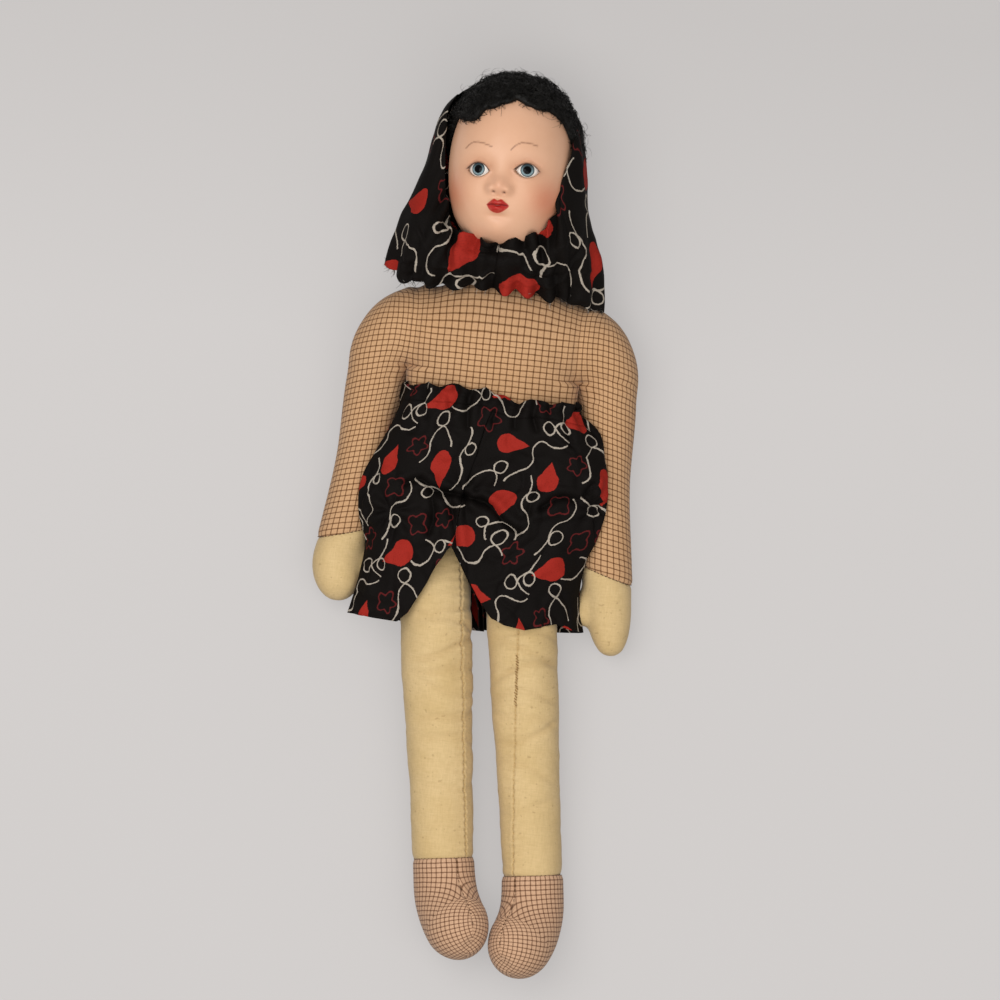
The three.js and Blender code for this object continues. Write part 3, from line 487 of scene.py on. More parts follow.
def lay_panels(piece, seam_z, flat):
    """Gives the piece its cloth coordinates: one set for the faces in front of the seam, one behind."""
    points, mesh, corner = points_of(piece), piece.data, corners_of(piece)
    total = np.empty(len(mesh.polygons), int)
    mesh.polygons.foreach_get("loop_total", total)
    middle = np.empty(len(mesh.polygons) * 3)
    mesh.polygons.foreach_get("center", middle)
    middle = middle.reshape(-1, 3) * 1000
    in_front = np.repeat(middle[:, 2] > seam_z(middle), total)
    spread = np.where(in_front[:, None], flat(points, True)[corner], flat(points, False)[corner]) / 1000
    mesh.uv_layers.new(name="cloth").data.foreach_set("uv", spread.ravel())


body = closed_lofts("body_form", [trunk_rings, yoke_rings, arm_rings, mirror(arm_rings)], tan_check)
melt(body, voxel=1.6, rounds=9)
# The arms' roots are drawn onto a round, the stuffing gets soft lumps, the left elbow a fold, and the arms' inner
# walls move off the torso.
points = points_of(body)
x, y, z = points.T
root = 1 - smoothstep(np.abs(np.abs(x) - SHOULDER_X), 0, 7)
reach = np.hypot(y - SHOULDER_Y, z - SHOULDER_Z)
pull = 1 + root * ((SHOULDER_RADIUS - 0.3) / np.maximum(reach, 1) - 1) * (reach > 14)
points[:, 1] = SHOULDER_Y + (y - SHOULDER_Y) * pull
points[:, 2] = SHOULDER_Z + (z - SHOULDER_Z) * pull
free = (1 - root) * smoothstep(points[:, 2], 2, 12)
points[:, 2] += LUMP_HIGH * free * lumps(points, scale=LUMP_WIDE, seed=3)
down, out = arm_place(points, 1)
fold = np.exp(-((down - FOLD_BELOW - FOLD_SLANT * out) / FOLD_WIDE) ** 2) * smoothstep(points[:, 0], 52, 60)
points[:, 2] -= FOLD_DEEP * fold * (points[:, 2] > 22)
points[:, 2] = np.maximum(points[:, 2], 0)
below_root = smoothstep(points[:, 1], GAP_FROM, GAP_FULL) * (1 - smoothstep(points[:, 1], -16, -12))
arm_wall = (np.abs(points[:, 0]) > 44.6) * (1 - smoothstep(np.abs(points[:, 0]), 46, 54))
points[:, 0] += np.sign(points[:, 0]) * GAP_ROOM * below_root * arm_wall
set_points(body, points)
lay_panels(body, side_seam, body_cloth)


def press(piece, reach, low, high):
    """Moves the walls of the gap below the arm's root sideways, so that arm and torso lie against each other."""
    points = points_of(piece)
    x, y, _ = points.T
    window = smoothstep(y, GAP_FROM, GAP_FULL) * (1 - smoothstep(y, -14.4, -11.8))
    x += np.sign(x) * reach * window * smoothstep(np.abs(x), low, high)
    set_points(piece, points)


torso = copied(body, "torso_cover")
cut(torso, (SHOULDER_X, 0, 0), (1, 0, 0))
cut(torso, (-SHOULDER_X, 0, 0), (-1, 0, 0))
press(torso, PRESS, 30, 42)
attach(torso, "torso")
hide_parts("torso_front_panel", "torso_back_panel", "torso_stuffing")

CUFF_SLANT = 0.47  # the cuff seam drops towards the outer side
CUFF_SHIFT = {1: 1.8, -1: -6.6}  # how far down the left and the right arm the seam lies from the wrist


def cuff_plane(side):
    """A point of the cuff seam's plane, and its normal towards the hand."""
    normal = unit(wrist_way - CUFF_SLANT * np.array([-wrist_way[1], wrist_way[0], 0]))
    return (wrist + wrist_way * CUFF_SHIFT[side]) * (side, 1, 1), normal * (side, 1, 1)


def nip(piece, place, normal, depth, width):
    """Draws the cloth in beside a seam that lies on a plane, towards the seam's middle."""
    points = points_of(piece)
    near = np.exp(-(((points - place) @ normal) / width) ** 2)
    inward = place - points
    inward = unit(inward - np.outer(inward @ normal, normal))
    set_points(piece, points + inward * (near * depth)[:, None])


cuff_rings = {}
for key, side in SIDES:
    sleeve = copied(body, f"arm_{key}_cover")
    cut(sleeve, (side * SHOULDER_X, 0, 0), (-side, 0, 0))
    place, normal = cuff_plane(side)
    cut(sleeve, place, normal)
    around = points_of(sleeve)
    around = around[np.abs((around - place) @ normal) < 0.01]
    spin = np.arctan2(around[:, 2] - place[2], (around[:, 0] - place[0]))
    cuff_rings[key] = around[np.argsort(spin)]
    nip(sleeve, place, normal, depth=0.7, width=1.4)
    press(sleeve, -PRESS, 56, 47)
    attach(sleeve, f"arm_{key}")
    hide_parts(f"arm_{key}_sleeve", f"arm_{key}_stuffing")
bpy.data.objects.remove(body)


# Mitten hands
# Plain yellow cotton, cut like a mitten with one thumb, sewn to the cuff along a slanted seam and stuffed. The right
# hand is curled towards the front, the left lies almost straight.
HAND_LENGTH = {"left": 44, "right": 37}
HAND_CURL = {"left": 10, "right": 40}  # degrees
HAND_RADIUS, THUMB_RADIUS, THUMB_DEEP = 15, 7, 1.15
MITTEN = {  # share of the length, share of the radius across, and front to back
    "left": [
        (-0.3, 0.9, 0.92), (0, 0.89, 0.92), (0.2, 0.86, 0.92), (0.4, 0.83, 0.9), (0.55, 0.79, 0.86), (0.7, 0.7, 0.77),
        (0.8, 0.61, 0.67), (0.89, 0.48, 0.53), (0.96, 0.3, 0.33), (1, 0.03, 0.03),
    ],
    "right": [
        (-0.3, 0.9, 0.92), (0, 0.89, 0.92), (0.2, 0.88, 0.95), (0.4, 0.9, 0.96), (0.6, 0.89, 0.92),
        (0.78, 0.77, 0.78), (0.9, 0.56, 0.57), (0.97, 0.3, 0.31), (1, 0.03, 0.03),
    ],
}
LEAN = {"left": 0.5, "right": -3.2}  # how far the fingertips lie from the middle line, towards the outer side
THUMB = {  # share of the length and place across of the thumb's root and tip
    "left": ((0.02, -3), (0.6, -16.5)), "right": ((0.15, -6), (0.66, -15)),
}


# Unbleached plain-weave cotton, once yellow: matt, with slubby threads both ways that are drawn at 1 mm so that
# they show, faint blotches and a few darker specks.
def plain_cotton(name, ground, shade):
    """The plain cloth's material, with painted shade along the seams and in the creases that a piece marks."""
    made, tree = new_material(name)
    place = node(tree, "ShaderNodeTexCoord", out="Object")
    blotch = node(tree, "ShaderNodeTexNoise", {"Vector": place, "Scale": 38.0, "Detail": 6.0, "Roughness": 0.6})
    threads = []
    for stretch in ((1500, 190, 1500), (190, 1500, 380)):
        laid = node(tree, "ShaderNodeMapping", {"Vector": place, "Scale": stretch})
        threads.append(node(tree, "ShaderNodeTexNoise", {"Vector": laid, "Scale": 1.0, "Detail": 2.0}))
    weave = node(tree, "ShaderNodeMath", threads, operation="ADD")
    speck = node(tree, "ShaderNodeTexNoise", {"Vector": place, "Scale": 520.0, "Detail": 0.0})
    seam = node(tree, "ShaderNodeAttribute", out="Fac", attribute_name="seam")
    colour = linear(ground)
    for mask, low, high, most, tone in (
        (blotch, 0.3, 0.72, 1.0, shade), (weave, 0.75, 1.3, 0.3, "a48a58"), (speck, 0.75, 0.82, 0.3, "7c6238"),
        # the seam attribute: painted shade in a seam's groove and in the leg's creases
        (seam, 0.0, 1.0, 0.5, "8a6a3c"),
    ):
        share = node(tree, "ShaderNodeMapRange", [mask, low, high, 0.0, most])
        colour = node(tree, "ShaderNodeMix", {0: share, 6: colour, 7: linear(tone)}, out=2, data_type="RGBA")
    relief = node(tree, "ShaderNodeBump", {"Strength": 0.4, "Distance": 0.0003, "Height": weave})
    skin = node(
        tree, "ShaderNodeBsdfPrincipled",
        {"Base Color": colour, "Roughness": 0.93, "Specular IOR Level": 0.12, "Sheen Weight": 0.18,
         "Sheen Roughness": 0.45, "Normal": relief},
    )
    node(tree, "ShaderNodeOutputMaterial", {"Surface": skin}, out=None)
    return made


yellow_cotton = plain_cotton("plain_yellow_cotton", "cdb284", "c2a675")
wrist_across = np.array([-wrist_way[1], wrist_way[0], 0]) / math.hypot(wrist_way[0], wrist_way[1])
wrist_front = np.cross(wrist_way, wrist_across)


def hand_frame(share, key):
    """Middle point and upward direction of the hand at a share of its length."""
    curl, shift = math.radians(HAND_CURL[key]), CUFF_SHIFT[1 if key == "left" else -1]
    radius = HAND_LENGTH[key] / curl
    angle = curl * share
    centre = wrist + wrist_way * (shift + radius * math.sin(angle)) + wrist_front * radius * (1 - math.cos(angle))
    return centre, wrist_front * math.cos(angle) - wrist_way * math.sin(angle)


for key, side in SIDES:
    palm = []
    for share in np.concatenate([np.linspace(-0.3, 0.9, 60), np.linspace(0.91, 1, 12)]):
        wide, thick = eased(MITTEN[key], share)[0]
        centre, up = hand_frame(share, key)
        lean = LEAN[key] * float(smoothstep(share, 0.35, 1))
        centre = centre + lean * wrist_across
        palm.append(oval(centre, wrist_across, up, HAND_RADIUS * wide, HAND_RADIUS * thick, count=64))
    (root_share, root_across), (tip_share, tip_across) = THUMB[key]
    root = hand_frame(root_share, key)[0] + root_across * wrist_across
    tip = hand_frame(tip_share, key)[0] + tip_across * wrist_across
    up = hand_frame(tip_share, key)[1]
    aside = np.cross(tip - root, up) / np.linalg.norm(tip - root)
    blunt = np.sqrt(np.maximum(0.002, 1 - np.linspace(-0.6, 1, 20) ** 4))
    thumb = [
        oval(root + (tip - root) * t, aside, up, THUMB_RADIUS * r, THUMB_RADIUS * THUMB_DEEP * r, count=32)
        for t, r in zip(np.linspace(0, 1, 20), blunt)
    ]
    forms = [palm, thumb] if side > 0 else [mirror(palm), mirror(thumb)]
    mitten = closed_lofts(f"hand_{key}_cover", forms, yellow_cotton)
    melt(mitten, voxel=1.1, rounds=26)
    points = points_of(mitten)
    points[:, 2] += 0.35 * lumps(points, scale=14, seed=11)
    points[:, 2] = np.maximum(points[:, 2], 0.1)
    set_points(mitten, points)
    place, normal = cuff_plane(side)
    cut(mitten, place, -normal)
    nip(mitten, place, normal, depth=0.8, width=1.3)
    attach(mitten, f"arm_{key}")
    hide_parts(f"hand_{key}_mitten")


# Legs
# Tubes of the same yellow cotton, sewn up along the front, flat at the hip and stuffed hard down to the ankle. The
# right leg's seam has turned to its inner side, and a torn stretch of the left one is mended.
HIP_X, LEG_SWING = 22.5, math.radians(7.8)
LEG_LENGTH = {1: 185.5, -1: 181}  # the left leg is a little longer
THIGH_RADIUS, ANKLE_RADIUS = 19, 16.3
# where the seam lies at hip and ankle, in degrees from the front towards the doll's left
SEAM_TURN, SEAM_RADIUS = {"left": (-2, -41), "right": (46, 48)}, 18
LEG_ROWS, LEG_COLUMNS = 190, 200
ANKLE_NIP, NIP_WIDTH = 0.7, 1.6  # how far the ankle's seam draws the cloth in
LEG_SHIFT = {1: (-1.2, 0.6), -1: (-1.6, -1.6)}  # how far the hip and the ankle have slid aside
LEG_WIDE = {1: 0.965, -1: 1}  # the left leg is a little thinner
ANKLE = ANKLE_RADIUS / THIGH_RADIUS
LEG = [  # share of the length, share of the thigh's radius across, and front to back
    (0, 0.97, 0.04), (0.035, 1, 0.27), (0.085, 1.02, 0.55), (0.16, 1.02, 0.83), (0.25, 1, 1), (0.42, 0.99, 1),
    (0.62, 1 + 0.5 * (ANKLE - 1), 1 + 0.4 * (ANKLE - 1)), (0.82, 1 + 0.85 * (ANKLE - 1), 1 + 0.8 * (ANKLE - 1)),
    (1, ANKLE, ANKLE),
]
LEG_CREASES = [  # distance below the hip, depth, and tilt round the leg
    (54, 0.7, 0.1), (62, 0.8, 0.2), (73, 1.0, -0.15), (86, 0.7, 0.1), (97, 0.5, 0.3), (108, 0.8, -0.2),
    (124, 0.5, 0.25), (146, 0.4, -0.1),
]


def leg_frame(side, s):
    """Middle point of the leg s millimetres below the hip, and the direction across it."""
    turn = LEG_SWING * float(smoothstep(s, 0, THIGH_RADIUS * 3))
    drop = (HIP_Z - ANKLE_RADIUS) * float(smoothstep(s, THIGH_RADIUS * 2, LEG_LENGTH[side]))
    aside = np.interp(s, (0, LEG_LENGTH[side]), LEG_SHIFT[side])
    x = side * HIP_X + aside + s * math.sin(LEG_SWING)
    y = -TORSO_BELOW - HIP_GAP - s * math.cos(LEG_SWING)
    return np.array([x, y, HIP_Z - drop]), np.array([math.cos(turn), math.sin(turn), 0])


def tube(name, rings, material):
    """A closed loft whose cloth coordinates run round from the middle of the front, and along."""
    rings = np.asarray(rings)
    rows, columns = rings.shape[:2]
    made = new_piece(
        name, [*rings.reshape(-1, 3), rings[0].mean(0), rings[-1].mean(0)], loft_faces(rows, columns), material
    )
    ahead = np.linalg.norm(np.roll(rings, -1, axis=1) - rings, axis=2)
    round_run = np.concatenate([np.zeros((rows, 1)), np.cumsum(ahead, axis=1)], axis=1)
    zero = np.array([np.interp(columns / 2, np.arange(columns + 1), r) for r in round_run])[:, None]
    along = np.concatenate([[0], np.cumsum(np.linalg.norm(np.diff(rings.mean(1), axis=0), axis=1))])
    u, v = (round_run - zero) / 1000, -along[:, None] / 1000 * np.ones((1, columns + 1))
    layer = made.data.uv_layers.new(name="cloth")
    spread = []
    for face in made.data.polygons:
        corners = np.array(face.vertices)
        poles = corners >= rows * columns
        r, c = np.minimum(corners // columns, rows - 1), corners % columns
        if poles.any():
            r[poles] = 0 if corners[poles][0] == rows * columns else rows - 1
            c[poles] = c[~poles][0]
        c = np.where((c == 0) & (c[~poles].max() == columns - 1), columns, c)
        spread += np.column_stack([u[r, c], v[r, c]]).ravel().tolist()
    layer.data.foreach_set("uv", spread)
    rework(made, face_outward)
    return made


leg_seams, ankle_rings = {}, {}
for key, side in SIDES:
    rings = []
    steps = np.linspace(HIP_GAP, LEG_LENGTH[side], LEG_ROWS)
    for s in steps:
        wide, thick = eased(LEG, s / LEG_LENGTH[side])[0] * THIGH_RADIUS
        wide *= LEG_WIDE[side]
        centre, across = leg_frame(side, s)
        nipped = ANKLE_NIP * math.exp(-((s - LEG_LENGTH[side]) / NIP_WIDTH) ** 2)
        thick = max(thick, 0.4)
        rings.append(oval(centre, across, (0, 0, 1), wide - nipped, thick - nipped, count=LEG_COLUMNS))
    rings = np.array(rings)
    outward = unit(rings - rings.mean(1, keepdims=True))
    angle = np.arange(LEG_COLUMNS) / LEG_COLUMNS * 360 - 180
    turn = np.interp(steps, (40, LEG_LENGTH[side]), SEAM_TURN[key])
    off = (-angle[None, :] - turn[:, None] + 180) % 360 - 180
    arc = np.radians(off) * SEAM_RADIUS
    flat = rings.reshape(-1, 3)
    swell = 0.8 * lumps(flat, 22, 5 + side) + 0.3 * lumps(flat * (0.5, 1.6, 0.5), 7, 2)
    below = steps[:, None]
    pucker = 0.4 * np.exp(-(arc / 5) ** 2) * np.cos(2 * np.pi * below / 4.2 + 2 * np.sin(below / 9))
    groove = -0.7 * np.exp(-(arc / 0.75) ** 2) + 0.45 * np.exp(-(arc / 2.4) ** 2)
    creases, in_front = np.zeros(arc.shape), smoothstep(np.cos(np.radians(off - 20 * side)), 0, 0.8)
    for where, deep, tilt in LEG_CREASES:
        wander = where + side * 4 + tilt * arc + 2.5 * np.sin(arc / 9 + where)
        creases -= 1.3 * deep * np.exp(-((below - wander) / 2.0) ** 2) * in_front
    rings = rings + outward * (swell.reshape(arc.shape) + pucker + groove + creases)[:, :, None]
    rings[:, :, 2] = np.maximum(rings[:, :, 2], 0.05)
    leg = tube(f"leg_{key}_cover", rings, yellow_cotton)
    # painted shade in the seam's groove and in the creases, kept as the leg's seam attribute
    soil_and_shade = leg.data.attributes.new("seam", "FLOAT", "POINT")
    dark = np.clip(0.36 * np.exp(-(arc / 0.7) ** 2) - 0.2 * creases, 0, 1)
    soil_and_shade.data.foreach_set("value", np.concatenate([dark.ravel(), [0, 0]]))
    at = (180 - turn) / 360 * LEG_COLUMNS
    row, before, part = np.arange(LEG_ROWS), at.astype(int), (at % 1)[:, None]
    on_seam = lambda grid: grid[row, before] * (1 - part) + grid[row, before + 1] * part
    leg_seams[key] = on_seam(rings) + on_seam(outward) * 0.3, on_seam(outward)
    ankle_rings[key] = rings[-1] - outward[-1] * 0.1, outward[-1]
    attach(leg, f"leg_{key}")
    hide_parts(f"leg_{key}_tube", f"leg_{key}_stuffing")


# Sock feet
# Pinkish check cotton, sewn up in front and sewn to the ankle, with the toe turned forward and inward. They are
# stuffed with the leg.
FOOT_LENGTH, FOOT_RADIUS, TOE_BEND = 59, 17.5, 58
TOE_IN = {"left": 35, "right": 27}  # degrees
DOME_FROM, TIP_AT = 0.66, 0.985  # shares of the length where the toe starts to close, and where it ends
FOOT_COLUMNS, FOOT_SEAM_RADIUS = 120, 16
pink_check = check_cotton("pink_check_cotton", "caa688", "bd9576", "65432d", (2.8, 2.5))
foot_seams = {}
for key, side in SIDES:
    centre, across = leg_frame(side, LEG_LENGTH[side])
    down = np.array([math.sin(LEG_SWING), -math.cos(LEG_SWING), 0])
    turn = math.radians(TOE_IN[key]) * side
    around = lambda v: v * math.cos(turn) + np.cross(down, v) * math.sin(turn)
    front, across = around(np.array([0.0, 0, 1])), around(across)
    rings, places, before, laid = [], [], 0, np.zeros(3)
    shares = np.concatenate([np.linspace(0, 0.88, 70), 1 - 0.12 * (1 - np.linspace(0, 1, 26)[1:]) ** 2])
    # where each point lies on a side panel that is pressed flat: arc from the side's middle, towards the front seam
    from_side = np.arcsin(np.sin(2 * np.pi * np.arange(FOOT_COLUMNS) / FOOT_COLUMNS - np.pi / 2))
    for share in shares:
        bend = math.radians(TOE_BEND) * float(smoothstep(share, 0.05, 0.85))
        way = down * math.cos(bend) + front * math.sin(bend)
        step = way * (min(share, TIP_AT) - before) * FOOT_LENGTH
        centre = centre + step
        before = min(share, TIP_AT)
        swell = ANKLE_RADIUS + (FOOT_RADIUS - ANKLE_RADIUS) * float(smoothstep(share, 0.1, 0.55))
        close = max(0, (share - DOME_FROM) / (1 - DOME_FROM))
        dome = math.sqrt(max(0, 1 - close * close))
        radius = max(swell * dome, 0.3) - ANKLE_NIP * math.exp(-((share * FOOT_LENGTH) / NIP_WIDTH) ** 2)
        flat = 0.04 * float(smoothstep(share, 0.1, 0.5))
        normal = front * math.cos(bend) - down * math.sin(bend)
        rings.append(oval(centre, across, normal, radius * (1 - flat), radius * (1 + flat), count=FOOT_COLUMNS))
        if share <= DOME_FROM:
            laid, laid_way, laid_normal = laid + step, way, normal
        round_side = dome * np.sin(from_side)
        from_middle = np.arccos(np.clip(dome * np.cos(from_side), 0, 1))
        from_middle /= np.maximum(np.hypot(round_side, close), 1e-6)
        pressed = laid + np.outer(swell * from_middle * round_side, laid_normal)
        pressed = pressed + np.outer((1 - DOME_FROM) * FOOT_LENGTH * from_middle * close, laid_way)
        places.append(np.column_stack([pressed @ front, pressed @ -down]))
    rings = np.array(rings)
    outward = unit(rings - rings.mean(1, keepdims=True))
    off = (180 - np.arange(FOOT_COLUMNS) / FOOT_COLUMNS * 360 + 180) % 360 - 180
    arc = np.radians(off) * FOOT_SEAM_RADIUS
    groove = -0.7 * np.exp(-(arc / 0.9) ** 2) + 0.3 * np.exp(-(arc / 3) ** 2)
    groove = groove[None, :] * (shares[:, None] < 0.93)
    swell = 0.4 * lumps(rings.reshape(-1, 3), 18, 21 + side).reshape(groove.shape)
    swell *= smoothstep(1 - shares, 0.02, 0.2)[:, None]
    rings = rings + outward * (groove + swell)[:, :, None]
    rings[:, :, 2] = np.maximum(rings[:, :, 2], 0.05)
    foot = closed_lofts(f"foot_{key}_cover", [rings], pink_check)
    lay_flat(foot, np.array([*np.concatenate(places), places[0].mean(0), places[-1].mean(0)]))
    sewn_rows, middle = int(0.8 * len(shares)), FOOT_COLUMNS // 2
    seam, raised = rings[:sewn_rows, middle], outward[:sewn_rows, middle]
    foot_seams[key] = seam + raised * 0.25, raised
    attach(foot, f"leg_{key}")
    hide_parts(f"foot_{key}_sock")


# Sewing thread
# Cotton thread in small running stitches along the leg and foot seams, the ankles and the cuffs, darker where a
# seam was mended. At the hips a whip stitch goes back and forth over the edges of torso and leg.
THREADS = {
    "ecru_thread": ("d2b47c", "a98a54"), "ochre_thread": ("9a7440", "6b4a22"), "brown_thread": ("6a4626", "3c2714"),
    "black_thread": ("0d0b0a", "050404"), "raw_thread": ("b5aca0", "6e675e"),
}
spools = {}
for name, (light, dark) in THREADS.items():
    # Twisted cotton: dull, with painted shade, a darker tone, in the hollows between the plies.
    made, tree = new_material(name)
    place = node(tree, "ShaderNodeTexCoord", out="Object")
    plies = node(tree, "ShaderNodeTexNoise", {"Vector": place, "Scale": 2400.0, "Detail": 2.0})
    tone = node(
        tree, "ShaderNodeMix",
        {0: node(tree, "ShaderNodeMapRange", [plies, 0.35, 0.65]), 6: linear(light), 7: linear(dark)},
        out=2, data_type="RGBA",
    )
    twist = node(tree, "ShaderNodeBump", {"Strength": 0.5, "Distance": 0.0002, "Height": plies})
    yarn = node(
        tree, "ShaderNodeBsdfPrincipled",
        {"Base Color": tone, "Roughness": 0.8, "Specular IOR Level": 0.2, "Sheen Weight": 0.1, "Normal": twist},
    )
    node(tree, "ShaderNodeOutputMaterial", {"Surface": yarn}, out=None)
    spools[name] = made


def new_tree(name, inputs):
    """An empty Geometry Nodes tree with named inputs: the tree, its inputs' outputs, and their identifiers."""
    tree = bpy.data.node_groups.new(name, "GeometryNodeTree")
    kinds = {"Geometry": "NodeSocketGeometry", "Material": "NodeSocketMaterial", "Seed": "NodeSocketInt"}
    sockets = {}
    for each in ("Geometry", *inputs, "Seed", "Material"):
        kind = kinds.get(each, "NodeSocketFloat")
        sockets[each] = tree.interface.new_socket(each, in_out="INPUT", socket_type=kind).identifier
    tree.interface.new_socket("Geometry", in_out="OUTPUT", socket_type="NodeSocketGeometry")
    return tree, tree.nodes.new("NodeGroupInput").outputs, sockets


def realized(tree, given, instances):
    """Ends a tree: the instances as one mesh with its material."""
    real = node(tree, "GeometryNodeRealizeInstances", [instances])
    ready = node(tree, "GeometryNodeSetMaterial", {"Geometry": real, "Material": given["Material"]})
    node(tree, "NodeGroupOutput", [ready], out=None)


stitching, given, stitch_inputs = new_tree("stitching", ("Spacing", "Length", "Thickness", "Slant"))
path = node(stitching, "GeometryNodeMeshToCurve", [given["Geometry"]])
dots = node(stitching, "GeometryNodeResampleCurve", {"Curve": path, "Length": given["Spacing"]}, mode="LENGTH")
outward_of = node(stitching, "GeometryNodeInputNamedAttribute", {"Name": "outward"}, data_type="FLOAT_VECTOR")
upright = node(stitching, "FunctionNodeAlignRotationToVector", {"Vector": outward_of}, axis="Z")
tangent = node(stitching, "GeometryNodeInputTangent")
laid = node(
    stitching, "FunctionNodeAlignRotationToVector", {"Rotation": upright, "Vector": tangent}, axis="X",
    pivot_axis="Z",
)
crook = node(
    stitching, "FunctionNodeRandomValue", {2: -0.16, 3: 0.16, "Seed": given["Seed"]}, out=1, data_type="FLOAT"
)
angle = node(stitching, "ShaderNodeMath", [crook, given["Slant"]], operation="ADD")
about = node(stitching, "ShaderNodeCombineXYZ", [None, None, angle])
spun = node(stitching, "FunctionNodeRotateRotation", {0: laid, 1: about}, rotation_space="LOCAL")
half, back_half, sunk, crown = (
    node(stitching, "ShaderNodeMath", [given[key], factor], operation="MULTIPLY")
    for key, factor in (("Length", 0.5), ("Length", -0.5), ("Thickness", -1.0), ("Thickness", 1.6))
)
bow_line = node(
    stitching, "GeometryNodeCurveQuadraticBezier",
    {"Resolution": 4, "Start": node(stitching, "ShaderNodeCombineXYZ", [back_half, None, sunk]),
     "Middle": node(stitching, "ShaderNodeCombineXYZ", [None, None, crown]),
     "End": node(stitching, "ShaderNodeCombineXYZ", [half, None, sunk])},
)
thread_round = node(stitching, "GeometryNodeCurvePrimitiveCircle", {"Resolution": 6, "Radius": given["Thickness"]})
stitch = node(
    stitching, "GeometryNodeCurveToMesh", {"Curve": bow_line, "Profile Curve": thread_round, "Fill Caps": True}
)
size = node(
    stitching, "FunctionNodeRandomValue", {2: 0.85, 3: 1.12, "Seed": given["Seed"]}, out=1, data_type="FLOAT"
)
realized(stitching, given, node(
    stitching, "GeometryNodeInstanceOnPoints", {"Points": dots, "Instance": stitch, "Rotation": spun, "Scale": size}
))


def grown(made, tree, sockets, **values):
    """Makes what a Geometry Nodes tree gives on a piece's mesh that piece's plain mesh."""
    run = made.modifiers.new("nodes", "NODES")
    run.node_group = tree
    for key, value in values.items():
        run[sockets[key]] = value
    settle(made)


def sewn(name, path, outward, body, thread, spacing, length, thick, slant=0.0, closed=False, seed=1):
    """Stitches along a path, with sizes in millimetres, raised towards the outward directions."""
    made = new_piece(name, path, [], spools[thread])
    count = len(path)
    steps = np.arange(count if closed else count - 1)
    made.data.edges.add(len(steps))
    made.data.edges.foreach_set("vertices", np.column_stack([steps, (steps + 1) % count]).ravel())
    lift = made.data.attributes.new("outward", "FLOAT_VECTOR", "POINT")
    lift.data.foreach_set("vector", np.asarray(outward).ravel())
    grown(
        made, stitching, stitch_inputs, Spacing=spacing / 1000, Length=length / 1000, Thickness=thick / 1000,
        Slant=slant, Seed=seed, Material=spools[thread],
    )
    if body:
        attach(made, body)
    return made


CUFF_SINK, WHIP_REACH, WHIP_POINTS = 0.55, 16.5, 30
for key, side in SIDES:
    arm, leg = f"arm_{key}", f"leg_{key}"
    seam, outward = leg_seams[key]
    sewn(f"{leg}_seam_stitches", seam[50:-2], outward[50:-2], leg, "ecru_thread", 2.3, 1.5, 0.2, seed=3)
    seam, outward = foot_seams[key]
    sewn(f"foot_{key}_seam_stitches", seam[3:], outward[3:], leg, "brown_thread", 2.6, 1.4, 0.19, seed=4)
    ring, outward = ankle_rings[key]
    sewn(f"ankle_{key}_stitches", ring, outward, leg, "brown_thread", 2.4, 1.2, 0.2, closed=True, seed=5)
    outward = unit(cuff_rings[key] - cuff_plane(side)[0])
    ring = cuff_rings[key] - CUFF_SINK * outward
    sewn(f"cuff_{key}_stitches", ring, outward, arm, "brown_thread", 2.2, 1.2, 0.2, closed=True, seed=6)
    reach = np.linspace(-WHIP_REACH, WHIP_REACH, WHIP_POINTS)[:, None]
    for face, way in (("front", 1), ("back", -1)):
        hip = np.array([side * HIP_X, -TORSO_BELOW - 0.1, HIP_Z + way * 0.75]) + reach * (1, 0, 0)
        ahead = np.tile((0.0, 0, way), (WHIP_POINTS, 1))
        whip = sewn(f"hip_{key}_{face}_whip", hip, ahead, None, "ecru_thread", 2.6, 4.4, 0.3, slant=1.2, seed=7)
        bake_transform(whip)
        if way > 0:
            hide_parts(f"hip_{key}_stitches")
seam, outward = (part[70:97] for part in leg_seams["left"])
sewn("leg_left_mend", seam + 0.1 * outward, outward, "leg_left", "ochre_thread", 1.5, 2.0, 0.24, slant=0.9, seed=8)


# Shorts
# Printed cotton, gathered on a waist elastic, with two wide hemmed legs. They lie loosely over the arms, the right
# leg of the shorts is pushed aside and the doll's leg comes out of its slanted front.
WAIST_Y, BAND_END, CROTCH_Y = -20, -29, -94
SEAT = {  # height, middle front x and z, outer edge |x| and z, |x| of the tuck beside the arm, back z
    1: [
        (-18, 3, 55.6, 44.5, 38, 43.4, 2.4), (-27, 2, 55.4, 48, 38, 44, 2.0), (-35, 0, 55, 57, 37, 44.6, 1.4),
        (-54, -4, 53.5, 63.8, 35, 45.5, 0.9), (-75, -9, 48, 66.6, 33, 47.5, 0.9), (-94, -11, 47, 63, 29.5, 49.5, 0.9),
        (-108, -13, 46, 58, 24, 51, 0.9), (-125, -13, 45, 57, 18, 52, 0.9), (-150, -13, 44, 62.5, 6, 57, 0.9),
    ],
    -1: [
        (-18, 3, 55.6, 43.6, 38, 43.2, 2.4), (-27, 2, 55.4, 44.8, 37.5, 43.6, 2.0),
        (-35, 0, 55, 47.5, 36.5, 44.2, 1.4), (-54, -4, 53.5, 54.5, 34, 45.2, 0.9),
        (-75, -9, 48, 63.2, 33.4, 47, 0.9), (-94, -11, 47, 62.2, 31, 49, 0.9),
        (-108, -13, 46, 57.6, 29, 50.5, 0.9), (-125, -13, 43.5, 59, 28.2, 52, 0.9),
        (-150, -13, 41, 64, 28, 53, 0.9),
    ],
}
HEM = {  # x along the front of the hem, and the hem's height there
    1: [
        (-13, -105), (-6, -115), (3, -129), (11.5, -141), (18, -144), (28, -145.6), (46, -140.5), (52, -143),
        (66, -144),
    ],
    -1: [(-66, -145), (-60, -146), (-48, -147.3), (-36, -148), (-32, -143), (-22, -123), (-13, -105)],
}
BACK_HEM = -148.5
